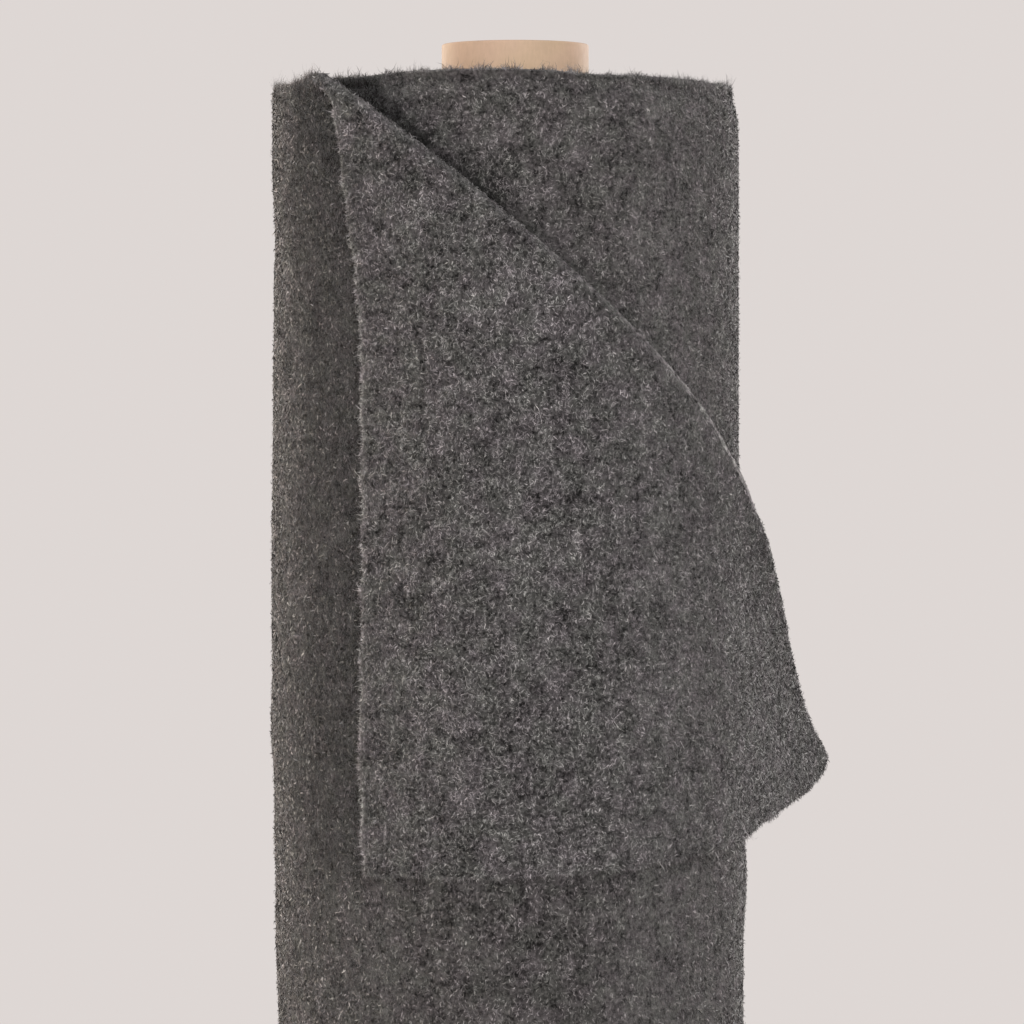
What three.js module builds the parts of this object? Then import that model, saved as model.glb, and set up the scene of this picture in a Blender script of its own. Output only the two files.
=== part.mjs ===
// A roll of thick wool cloth on a cardboard tube, standing on end.
// The last turn of the cloth is loose and its top corner is folded down over the front.
// Millimetres, +Z up. The pieces are drawn about the roll's axis, and the whole is then placed
// with its origin at the middle of its box, at the level that it stands on.
// The front is the -Y side. Angles are in degrees from the front towards +X.

import * as THREE from 'three';
import { mergeVertices } from 'three/addons/utils/BufferGeometryUtils.js';

// Cloth
const CLOTH_WIDTH = 1500;
const CLOTH_THICKNESS = 2.2;
const TURN_GAP = 0.45;
const TURN_PITCH = CLOTH_THICKNESS + TURN_GAP;
const TURN = 360;

// Cardboard tube
const TUBE_RADIUS = 28.5;
const TUBE_WALL = 3.5;
const TUBE_HEIGHT = 1515;
const TUBE_SHIFT = 2.1;
const TUBE_RIM = 0.6;
const TUBE_SIDES = 60;
const TUBE_CLEARANCE = 0.3;

// Wound body
const ROOT_ANGLE = -150;
const ROOT_RADIUS = 86.5;
const WOUND_SIDES = 64;
const FLAT_END_RADIUS = 82;
const EDGE_BEVEL = 1.4;
const STEP_DROP = 0.9;
const EDGE_DROP = 0.2;

// How far the wound body is thicker or thinner at a height
const GIRTH = [
  { height: 0, change: -0.4 },
  { height: 260, change: 0.1 },
  { height: 620, change: -0.5 },
  { height: 960, change: -0.2 },
  { height: 1140, change: -1.2 },
  { height: 1210, change: -0.1 },
  { height: 1400, change: 0 },
  { height: 1500, change: 0 },
];

// How far the top edge of the wound body draws in, by the distance below it
const SHOULDER = [
  { depth: 0, change: -2.6 },
  { depth: 3, change: -1.9 },
  { depth: 7, change: -0.8 },
  { depth: 12, change: 0 },
];

// Loose end
const LOOSE_START = ROOT_ANGLE + 0.25;
const LOOSE_BOTTOM = 1;
const CUT_END = 229;
const FOLD_START = -68.5;
const FOLD_SLOPE = Math.tan(THREE.MathUtils.degToRad(42));
const FOLD_BOW = 4.5;
const FOLD_BOW_LENGTH = 125;
const FOLD_MIDDLE_GAP = 6.5;
const PLY_DISTANCE = CLOTH_THICKNESS + 0.5;
const PLY_SETTLE = 14;
const CORNER = { along: -55, height: 1196 };
const CUT_SAG = 11;

// Angle at which the loose turn leaves the wound body at a height, and its flap there
const LEAVING = [
  { height: 1140, under: 150, flap: 71.5 },
  { height: 1170, under: 128, flap: 71.5 },
  { height: 1205, under: 92, flap: 71.5 },
  { height: 1230, under: 71.5, flap: 71.5 },
  { height: 1244, under: 73, flap: 73 },
  { height: 1262, under: 74.4, flap: 74.4 },
  { height: 1282, under: 73.4, flap: 73.4 },
  { height: 1307, under: 69, flap: 69 },
  { height: 1331, under: 63.5, flap: 63.5 },
  { height: 1352, under: 60, flap: 60 },
];

// How the loose turn stands off the wound body at its folded top corner
const BULGE = 12;
const BULGE_ANGLES = { start: -89, peak: -47, end: -4 };
const BULGE_DEPTH = 130;

// Slack of the loose turn on its left side
const SLACK = 0.9;
const SLACK_ANGLES = { start: -146, peak: -88, end: -20 };
const SWELL = 1.4;
const SWELL_HEIGHT = 1307;
const SWELL_REACH = 85;

// Heights at which the wound body and the loose end have a row of points
const SHARED_ROWS = [260, 620, 960, 1050, 1120, 1165];
const WOUND_ROWS = [...SHARED_ROWS, 1180, 1195, 1215, 1260, 1400];

// Steps of the loose end's mesh
const COLUMN_STEP = 9.5;
const LOW_ROWS = [LOOSE_BOTTOM, ...SHARED_ROWS];
const HIGH_ROWS = 14;
const FOLD_ROWS = 6;
const FLAP_ROWS = 14;
const CORNER_START = 5;

const WOOL = { color: 0x4f4c4b, roughness: 0.95, metalness: 0 };
const CARDBOARD = { color: 0xc8aa87, roughness: 0.8, metalness: 0 };

const rad = THREE.MathUtils.degToRad;
const clamp01 = (t) => Math.min(1, Math.max(0, t));
const ease = (t) => clamp01(t) ** 2 * (3 - 2 * clamp01(t));

// Slope of a table's column at a row, level at the ends and at its peaks
function slopeAt(table, key, column, i) {
  if (i === 0 || i === table.length - 1) return 0;
  const rise = (k) => (table[k][column] - table[k - 1][column]) / (table[k][key] - table[k - 1][key]);
  const [before, after] = [rise(i), rise(i + 1)];
  return before * after <= 0 ? 0 : (2 * before * after) / (before + after);
}

// Value of a table's column at a place given by its key, on a smooth curve through the rows
function lookUp(table, key, column, place) {
  const end = table.length - 1;
  if (place <= table[0][key]) return table[0][column];
  if (place >= table[end][key]) return table[end][column];
  const i = table.findIndex((row) => place <= row[key]);
  const [low, high] = [table[i - 1], table[i]];
  const span = high[key] - low[key];
  const t = (place - low[key]) / span;
  const lean = span * (t * (1 - t));
  const slopes = slopeAt(table, key, column, i - 1) * (1 - t) - slopeAt(table, key, column, i) * t;
  return low[column] + ease(t) * (high[column] - low[column]) + lean * slopes;
}

// Rises from 0 to 1 at the peak angle and falls back to 0
function hump(angles, angle) {
  const { start, peak, end } = angles;
  return angle < peak ? ease((angle - start) / (peak - start)) : ease((end - angle) / (end - peak));
}

function pointAt(radius, angle, height) {
  return new THREE.Vector3(radius * Math.sin(rad(angle)), -radius * Math.cos(rad(angle)), height);
}

function woundRadius(angle, height) {
  const spiral = (TURN_PITCH * (angle - ROOT_ANGLE)) / TURN;
  return ROOT_RADIUS + spiral + lookUp(GIRTH, 'height', 'change', height);
}

// Merges shared points, drops triangles without area and gives flat normals
function closedGeometry(points, triangles) {
  const soup = new THREE.BufferGeometry();
  soup.setAttribute('position', new THREE.Float32BufferAttribute(points.flatMap((p) => p.toArray()), 3));
  soup.setIndex(triangles.flat());
  const merged = mergeVertices(soup, 1e-4);
  const index = merged.getIndex().array;
  const kept = [];
  for (let i = 0; i < index.length; i += 3) {
    const [a, b, c] = [index[i], index[i + 1], index[i + 2]];
    if (a !== b && b !== c && c !== a) kept.push(a, b, c);
  }
  merged.setIndex(kept);
  const flat = merged.toNonIndexed();
  flat.computeVertexNormals();
  return flat;
}

function meshOf(name, geometry, finish) {
  const mesh = new THREE.Mesh(geometry, new THREE.MeshStandardMaterial(finish));
  mesh.name = name;
  return mesh;
}

// Tube: a closed profile turned about the tube's own axis
function coreTube() {
  const inner = TUBE_RADIUS - TUBE_WALL;
  const profile = [
    [inner, 0],
    [TUBE_RADIUS, 0],
    [TUBE_RADIUS, TUBE_HEIGHT - TUBE_RIM],
    [TUBE_RADIUS - TUBE_RIM, TUBE_HEIGHT],
    [inner + TUBE_RIM, TUBE_HEIGHT],
    [inner, TUBE_HEIGHT - TUBE_RIM],
    [inner, 0],
  ].map(([radius, height]) => new THREE.Vector2(radius, height));
  const tube = meshOf('core_tube', new THREE.LatheGeometry(profile, TUBE_SIDES), CARDBOARD);
  tube.rotation.x = Math.PI / 2;
  tube.position.x = TUBE_SHIFT;
  return tube;
}

// Wound body: a ring of upright profiles from the root of the loose turn, once round to its outer face
function woundProfile(angle, share) {
  const bore = TUBE_RADIUS + TUBE_CLEARANCE;
  const drop = EDGE_DROP + STEP_DROP * (1 - share);
  const wall = (height, inset = 0) => pointAt(woundRadius(angle, height) - inset, angle, height);
  const top = CLOTH_WIDTH;
  const profile = [wall(drop, EDGE_BEVEL)];
  profile.push(wall(drop + EDGE_BEVEL));
  for (const height of WOUND_ROWS) profile.push(wall(height));
  for (const { depth, change } of [...SHOULDER].reverse().slice(0, -1)) {
    profile.push(wall(top - depth, -change));
  }
  const crown = EDGE_BEVEL - SHOULDER[0].change;
  profile.push(pointAt(woundRadius(angle, top) - crown, angle, top - drop));
  profile.push(pointAt(FLAT_END_RADIUS, angle, top));
  for (const height of [top, 0]) {
    profile.push(pointAt(bore, angle, height).add(new THREE.Vector3(TUBE_SHIFT, 0, 0)));
  }
  profile.push(pointAt(FLAT_END_RADIUS, angle, 0));
  return profile;
}

function woundCloth() {
  const profiles = [];
  for (let k = 0; k <= WOUND_SIDES; k += 1) {
    const share = k / WOUND_SIDES;
    profiles.push(woundProfile(ROOT_ANGLE + share * TURN, share));
  }
  const size = profiles[0].length;
  const triangles = [];
  for (let k = 0; k <= WOUND_SIDES; k += 1) {
    const next = (k + 1) % (WOUND_SIDES + 1);
    for (let m = 0; m < size; m += 1) {
      const up = (m + 1) % size;
      const [a, b, c, d] = [k * size + m, next * size + m, next * size + up, k * size + up];
      triangles.push([a, b, c], [a, c, d]);
    }
  }
  return meshOf('wound_cloth', closedGeometry(profiles.flat(), triangles), WOOL);
}

// Middle of the loose turn in plan: its distance from the axis at an angle and height
function looseRadius(angle, height, leaving) {
  const depth = clamp01((CLOTH_WIDTH - height) / BULGE_DEPTH);
  const swell = SWELL * Math.exp(-(((height - SWELL_HEIGHT) / SWELL_REACH) ** 2));
  const lying = (at) =>
    woundRadius(at, height) +
    TURN_GAP +
    CLOTH_THICKNESS / 2 +
    (SLACK + swell) * hump(SLACK_ANGLES, at) +
    BULGE * hump(BULGE_ANGLES, at) * ease(1 - depth);
  if (angle <= leaving) return lying(angle);
  return lying(leaving) / Math.cos(rad(angle - leaving));
}

// Point of the loose turn at a distance along it from the front and at a height
function loosePoint(along, height, column) {
  const leaving = lookUp(LEAVING, 'height', column, height);
  const toStart = rad(-LOOSE_START) * (ROOT_RADIUS + TURN_PITCH);
  let left = along + toStart;
  let angle = LOOSE_START;
  let here = pointAt(looseRadius(angle, height, leaving), angle, height);
  while (angle < TURN / 2) {
    const next = pointAt(looseRadius(angle + 1, height, leaving), angle + 1, height);
    const length = next.distanceTo(here);
    if (length >= left) return here.lerp(next, left / length);
    left -= length;
    angle += 1;
    here = next;
  }
  return here;
}

// Point, outward normal and upward direction of the loose turn
function looseFrame(along, height, column) {
  const reach = 2;
  const low = Math.min(height, CLOTH_WIDTH - reach);
  const side = loosePoint(along + reach, height, column).sub(loosePoint(along - reach, height, column));
  const up = loosePoint(along, low + reach, column).sub(loosePoint(along, low - reach, column));
  return {
    point: loosePoint(along, height, column),
    normal: side.clone().cross(up).normalize(),
    side: side.normalize(),
    up: up.normalize(),
  };
}

// Height of the fold, which bows up a little in its upper part
function foldHeight(along) {
  const past = Math.max(0, along - FOLD_START);
  const bow = FOLD_BOW * Math.sin(Math.PI * clamp01(past / FOLD_BOW_LENGTH)) ** 2;
  return CLOTH_WIDTH - past * FOLD_SLOPE + bow;
}

// One upright line of the loose end below its top edge or fold
function lowerRows(along) {
  const top = foldHeight(along);
  const last = LOW_ROWS[LOW_ROWS.length - 1];
  const heights = [...LOW_ROWS];
  for (let j = 1; j <= HIGH_ROWS; j += 1) heights.push(last + ((top - last) * j) / HIGH_ROWS);
  return heights.map((height) => {
    const { point, normal } = looseFrame(along, height, 'under');
    return { point, normal };
  });
}

// Half turn of the cloth over the fold
function foldRows(along) {
  const { point, normal, side, up } = looseFrame(along, foldHeight(along), 'under');
  const slope = Math.atan(FOLD_SLOPE);
  const outward = side.multiplyScalar(Math.sin(slope)).add(up.multiplyScalar(Math.cos(slope))).normalize();
  const radius = FOLD_MIDDLE_GAP / 2;
  const rows = [];
  for (let j = 1; j <= FOLD_ROWS; j += 1) {
    const turn = (Math.PI * j) / FOLD_ROWS;
    rows.push({
      point: point
        .clone()
        .addScaledVector(normal, radius * (1 - Math.cos(turn)))
        .addScaledVector(outward, radius * Math.sin(turn)),
      normal: normal.clone().multiplyScalar(Math.cos(turn)).addScaledVector(outward, -Math.sin(turn)),
    });
  }
  return rows;
}

// One line of the flap from the fold to its free selvedge
function flapRows(along) {
  const share = (along - FOLD_START) / (CUT_END - FOLD_START);
  const start = { along, height: foldHeight(along) };
  const end = {
    along: FOLD_START + (CORNER.along - FOLD_START) * share,
    height: CLOTH_WIDTH + (CORNER.height - CLOTH_WIDTH) * share,
  };
  const rows = [];
  for (let j = 1; j <= FLAP_ROWS; j += 1) {
    const t = j / FLAP_ROWS;
    const sag = CUT_SAG * share ** 2 * 4 * t * (1 - t);
    const place = start.along + (end.along - start.along) * t;
    const height = start.height + (end.height - start.height) * t - sag;
    const away = (foldHeight(place) - height) * Math.cos(Math.atan(FOLD_SLOPE));
    const gap = PLY_DISTANCE + (FOLD_MIDDLE_GAP - PLY_DISTANCE) * Math.exp(-away / PLY_SETTLE);
    const { point, normal } = looseFrame(place, height, 'flap');
    rows.push({ point: point.addScaledVector(normal, gap), normal: normal.negate() });
  }
  return rows;
}

// Gives a surface its thickness and closes it along its free edges
function thickened(points, normals, triangles) {
  const count = points.length;
  const half = CLOTH_THICKNESS / 2;
  const outer = points.map((p, i) => p.clone().addScaledVector(normals[i], half));
  const inner = points.map((p, i) => p.clone().addScaledVector(normals[i], -half));
  const edges = new Map();
  for (const [a, b, c] of triangles) {
    for (const [from, to] of [[a, b], [b, c], [c, a]]) edges.set(`${from},${to}`, [from, to]);
  }
  const faces = [...triangles];
  for (const [a, b, c] of triangles) faces.push([a + count, c + count, b + count]);
  for (const [from, to] of edges.values()) {
    if (!edges.has(`${to},${from}`)) {
      faces.push([to, from, from + count], [to, from + count, to + count]);
    }
  }
  return closedGeometry([...outer, ...inner], faces);
}

function looseEnd() {
  const begin = -rad(-LOOSE_START) * (ROOT_RADIUS + TURN_PITCH);
  const before = Math.ceil((FOLD_START - begin) / COLUMN_STEP);
  const after = Math.ceil((CUT_END - FOLD_START - CORNER_START) / COLUMN_STEP);
  const columns = [];
  for (let i = 0; i <= before; i += 1) {
    columns.push(lowerRows(begin + ((FOLD_START - begin) * i) / before));
  }
  for (let i = 0; i <= after; i += 1) {
    const first = FOLD_START + CORNER_START;
    const along = first + ((CUT_END - first) * i) / after;
    columns.push([...lowerRows(along), ...foldRows(along), ...flapRows(along)]);
  }
  const firsts = [];
  let total = 0;
  for (const column of columns) {
    firsts.push(total);
    total += column.length;
  }
  const triangles = [];
  for (let i = 0; i + 1 < columns.length; i += 1) {
    const shared = Math.min(columns[i].length, columns[i + 1].length);
    for (let j = 0; j + 1 < shared; j += 1) {
      const [a, b] = [firsts[i] + j, firsts[i + 1] + j];
      triangles.push([a, b, b + 1], [a, b + 1, a + 1]);
    }
  }
  const rows = columns.flat();
  const geometry = thickened(rows.map((r) => r.point), rows.map((r) => r.normal), triangles);
  return meshOf('loose_end', geometry, WOOL);
}

const roll = new THREE.Group();
roll.add(coreTube(), woundCloth(), looseEnd());
const middle = new THREE.Box3().setFromObject(roll, true).getCenter(new THREE.Vector3());
roll.position.set(-middle.x, -middle.y, 0);
export default roll;
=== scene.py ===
"""A roll of thick napped wool cloth on a cardboard tube, its loose turn's top corner folded down."""

import math

import bpy
import numpy as np
from bpy.props import FloatProperty, FloatVectorProperty, IntProperty, PointerProperty
from bpy.types import Operator, Panel, PropertyGroup
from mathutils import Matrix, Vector


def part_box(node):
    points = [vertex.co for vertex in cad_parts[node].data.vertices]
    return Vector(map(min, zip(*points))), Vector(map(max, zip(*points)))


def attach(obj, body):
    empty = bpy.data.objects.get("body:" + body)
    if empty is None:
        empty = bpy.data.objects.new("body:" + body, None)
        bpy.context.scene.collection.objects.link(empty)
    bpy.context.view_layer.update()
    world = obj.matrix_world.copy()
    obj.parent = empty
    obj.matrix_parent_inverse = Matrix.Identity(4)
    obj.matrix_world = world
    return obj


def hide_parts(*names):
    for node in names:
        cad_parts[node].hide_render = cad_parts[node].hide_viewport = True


bl_info = {
    "name": "Wool cloth roll",
    "version": (1, 0, 0),
    "blender": (4, 5, 0),
    "location": "View3D > Sidebar > Cloth roll",
    "description": "Adds a roll of napped wool cloth on a cardboard tube with its corner folded down",
    "category": "Add Mesh",
}

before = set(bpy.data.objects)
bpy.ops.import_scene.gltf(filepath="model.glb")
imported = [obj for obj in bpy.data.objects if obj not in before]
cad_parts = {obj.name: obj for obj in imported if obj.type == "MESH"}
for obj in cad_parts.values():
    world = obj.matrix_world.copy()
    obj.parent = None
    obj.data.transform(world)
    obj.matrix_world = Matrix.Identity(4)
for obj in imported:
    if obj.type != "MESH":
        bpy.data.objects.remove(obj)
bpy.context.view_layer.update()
TUBE_LOW, TUBE_HIGH = (Vector(corner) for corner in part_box("core_tube"))

# Shapes are worked out in millimetres and degrees about the roll's axis, with angles from the front
# towards +X. Distances along the cloth also count from the front towards +X. The meshes are in metres.
# A span is a pair of values: something sets in at the first and is complete at the second.
MM = 0.001
TURN = 360.0
UP = np.array([0.0, 0.0, 1.0])
TUBE_SHIFT = 2.1
AXIS = np.array([(TUBE_LOW.x + TUBE_HIGH.x) / 2 - TUBE_SHIFT * MM, (TUBE_LOW.y + TUBE_HIGH.y) / 2, 0.0])

# Wound body
ROOT_ANGLE = -150.0
ROOT_RADIUS = 86.5
TUBE_CLEARANCE = 0.3
EDGE_DROP = 0.2
TURNS_THAT_GIVE = 9.0
# Height and how far the body is thicker or thinner there
GIRTH = [(0, -0.4), (260, 0.1), (620, -0.5), (960, -0.2), (1140, -1.2), (1210, -0.1), (1400, 0), (1500, 0)]
# Depth below the top edge and how far the body draws in there, under a small lip
SHOULDER = [(0, -2.3), (1.2, -2.3), (3.4, -3.1), (6, -2.1), (8.5, -1.3), (11, -0.6), (16, -0.2), (26, 0)]
# Angle and how far the body's top edge rises there
TOP_RISE = [
    (-150, 0),
    (-60, -1.0),
    (-42, -1.1),
    (-32, -0.4),
    (-20, 0.3),
    (-8, 0.5),
    (8, 0.1),
    (22, -1.3),
    (45, -1.4),
    (68, -1.9),
    (110, -1.0),
    (210, 0),
]

# Loose turn
LYING_RADIUS = ROOT_RADIUS + 3
LOOSE_START = ROOT_ANGLE + 0.25
LOOSE_BOTTOM = 1.0
CUT_END = 229.0
FOLD_START = -65.6
FOLD_ANGLE = math.radians(42)
# Distance from the fold's start and how far the fold bows up there
FOLD_BOW = [(0, -1.2), (12, 1.2), (29, 3.6), (48, 4.5), (64, 4.1), (86, 2.5), (106, 0.7), (125, -0.4)]
FOLD_END_DIP, FOLD_END = 2.2, (195.0, 229.0)
FOLD_MIDDLE_GAP = 5.2
PLY_GAP = 0.5
PLY_SETTLE = 14.0
CORNER_ALONG, CORNER_HEIGHT = -55.0, 1196.0
# Height and how far along the cloth the flap's free edge lies there
FLAP_EDGE = [
    (1196, -56.5),
    (1234, -57.5),
    (1263, -56.3),
    (1300, -55.5),
    (1338, -55.5),
    (1376, -56.3),
    (1402, -55.2),
    (1445, -54.5),
    (1470, -54.2),
    (1490, -55.2),
    (1500, -62.0),
]
SHORTEST_FLAP = 0.6
CUT_SAG = 11.0
TIP_SAG = 3.2
# Height, and the angles at which the under ply and the flap leave the wound body there
LEAVING = [
    (1140, 150, 71.5),
    (1170, 128, 71.5),
    (1205, 92, 71.5),
    (1230, 71.5, 71.5),
    (1244, 73, 73),
    (1262, 74.4, 74.4),
    (1282, 73.4, 73.4),
    (1307, 69, 69),
    (1331, 63.5, 63.5),
    (1352, 60, 60),
]
UNDER, FLAP = 1, 2
# Outward bulge and slack of the turn as it lies on the body, with the angles of start, peak and end
BULGE = 12.0
BULGE_ANGLES = (-89, -47, -4)
BULGE_DEPTH = 130.0
SLACK = 0.9
SLACK_ANGLES = (-146, -88, -20)
SWELL, SWELL_HEIGHT, SWELL_REACH = 1.4, 1307.0, 85.0
WAVE_LEVEL, WAVE_DEPTH = 0.22, 0.34
# Droop of the top edge on the left, with its spans along the cloth and in height
EDGE_DROOP, DROOP_LEFT, DROOP_TOP = 3.0, (-67.0, -78.0), (1440.0, 1500.0)

# Rows and columns of the loose turn's mesh: distances from a free edge, levels below the fold, steps
# along the cloth left and right of the fold's start, and numbers of rows in each ply and the fold
EDGE_ROWS = np.array([3.0, 1.4, 0.5, 0])
BOTTOM_ROWS = [0, 0.5, 1.4, 3, 45, 120, 190, 260, 350, 440, 530, 620, 705, 790, 875, 960, 1010]
MIDDLE_ROWS = [1050, 1085, 1120, 1143, 1165]
LEFT_STEP, RIGHT_STEP = 4.0, 3.6
PLY_ROWS = 65
FOLD_ROWS = 12
# How near the cut end the columns become uneven
ROUGH_CUT = 14.0

# Shade on the nap left of the flap's edge, with its reach and spans, and the same below the cut end
LOW_SHADE, WIDE_SHADE, NEAR_SHADE = 0.03, 0.41, 0.2
WIDE_REACH, NEAR_REACH = 39.0, 5.0
BESIDE_FLAP = (-6.0, 0.0)
FLAP_LEVELS = (CORNER_HEIGHT - 14, CORNER_HEIGHT + 8)
BELOW_SHADE, BELOW_REACH = 0.14, 4.0
BELOW_LEFT, BELOW_RIGHT = (CORNER_ALONG, CORNER_ALONG + 10), (130.0, 110.0)
# Shade on the wound body where the fold presses on it, wider towards the fold's start
CREASE, CREASE_SPAN, CREASE_REACH = 0.8, (26.0, -14.0), 0.8
CREASE_FLARE, FLARE_ALONG, FLARE_FADE, MOST_FLARE = 2.4, -58.0, 13.0, 20.0
SOFT_CREASE, SOFT_SPAN, SOFT_REACH = 0.1, (10.0, -40.0), 12.0
# Painted shade in the gap beyond the fold, which starts where the fold hides the body from the front
GAP_SHADE, GAP_EASING, GAP_EASES = 0.44, 0.1, (0.0, 40.0)
GAP_SPAN, GAP_REACH = (-22.0, -2.0), 1.6
HIDDEN_WIDTH, HIDDEN_GROWTH, MOST_HIDDEN = 3.7, 2.8, 1.2
# Light on the fold's brow and along the flap's free edge, and shade on the part that hangs free
CREST_LIGHTS = [(0.35, (5.0, 35.0)), (0.75, (50.0, 85.0))]
CREST_REACH, CREST_END = 0.45, (125.0, 95.0)
BEAD_LIGHT, BEAD_DEPTH, BEAD_REACH = 0.6, 0.6, 1.1
BEAD_FADING, BEAD_TOP, BEAD_CORNER = 0.65, (1395.0, 1445.0), (1190.0, 1212.0)
HANGING_SHADE, HANGING = 0.14, (112.0, 126.0)

# Heights over which the nap sets in as separate fibres, and the level that they end at
NAP_LEVELS = (1085.0, 1122.0)
NAP_TOP = 1500.0


def ease(t):
    """Rises smoothly from 0 to 1 as t does."""
    t = np.clip(t, 0, 1)
    return t * t * (3 - 2 * t)


def ramp(value, span):
    """How far something has set in at a value of its span, from 0 to 1."""
    start, full = span
    return ease((value - start) / (full - start))


def bell(distance, reach, power=2):
    """1 at no distance, falling off to 0 past the reach."""
    return np.exp(-((distance / reach) ** power))


def hump(span, angle):
    """Rises from 0 to 1 at the middle angle and falls back to 0."""
    start, peak, end = span
    return np.where(angle < peak, ramp(angle, (start, peak)), ramp(angle, (end, peak)))


def smooth_curve(table, places, column=1):
    """A table's column at some places, on a smooth curve through its rows."""
    keys = np.array([row[0] for row in table], float)
    values = np.array([row[column] for row in table], float)
    rises = np.diff(values) / np.diff(keys)
    before, after = rises[:-1], rises[1:]
    slopes = np.zeros(len(keys))
    same_way = before * after > 0
    total = np.where(same_way, before + after, 1)
    slopes[1:-1] = np.where(same_way, 2 * before * after / total, 0)
    places = np.clip(places, keys[0], keys[-1])
    i = np.clip(np.searchsorted(keys, places) - 1, 0, len(keys) - 2)
    span = keys[i + 1] - keys[i]
    t = (places - keys[i]) / span
    lean = slopes[i] * (1 - t) - slopes[i + 1] * t
    return values[i] + ease(t) * (values[i + 1] - values[i]) + span * t * (1 - t) * lean


def waves(seed, lengths, count):
    """A smooth uneven function of two distances, from about -1 to 1."""
    rng = np.random.default_rng(seed)
    size = rng.uniform(*lengths, count)
    heading = rng.uniform(0, math.pi, count)
    phase = rng.uniform(0, 2 * math.pi, count)
    share = np.sqrt(size) / np.sqrt(size.sum())

    def value(a, b):
        total = 0
        for s, h, p, w in zip(size, heading, phase, share):
            total = total + w * np.sin(2 * math.pi / s * (a * math.cos(h) + b * math.sin(h)) + p)
        return total

    return value


CLOTH_WAVES = waves(11, (28, 110), 9)
EDGE_WAVES = waves(5, (4, 26), 8)


def length_of(vectors):
    return np.linalg.norm(vectors, axis=-1, keepdims=True)


def unit(vectors):
    return vectors / np.maximum(length_of(vectors), 1e-9)


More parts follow.
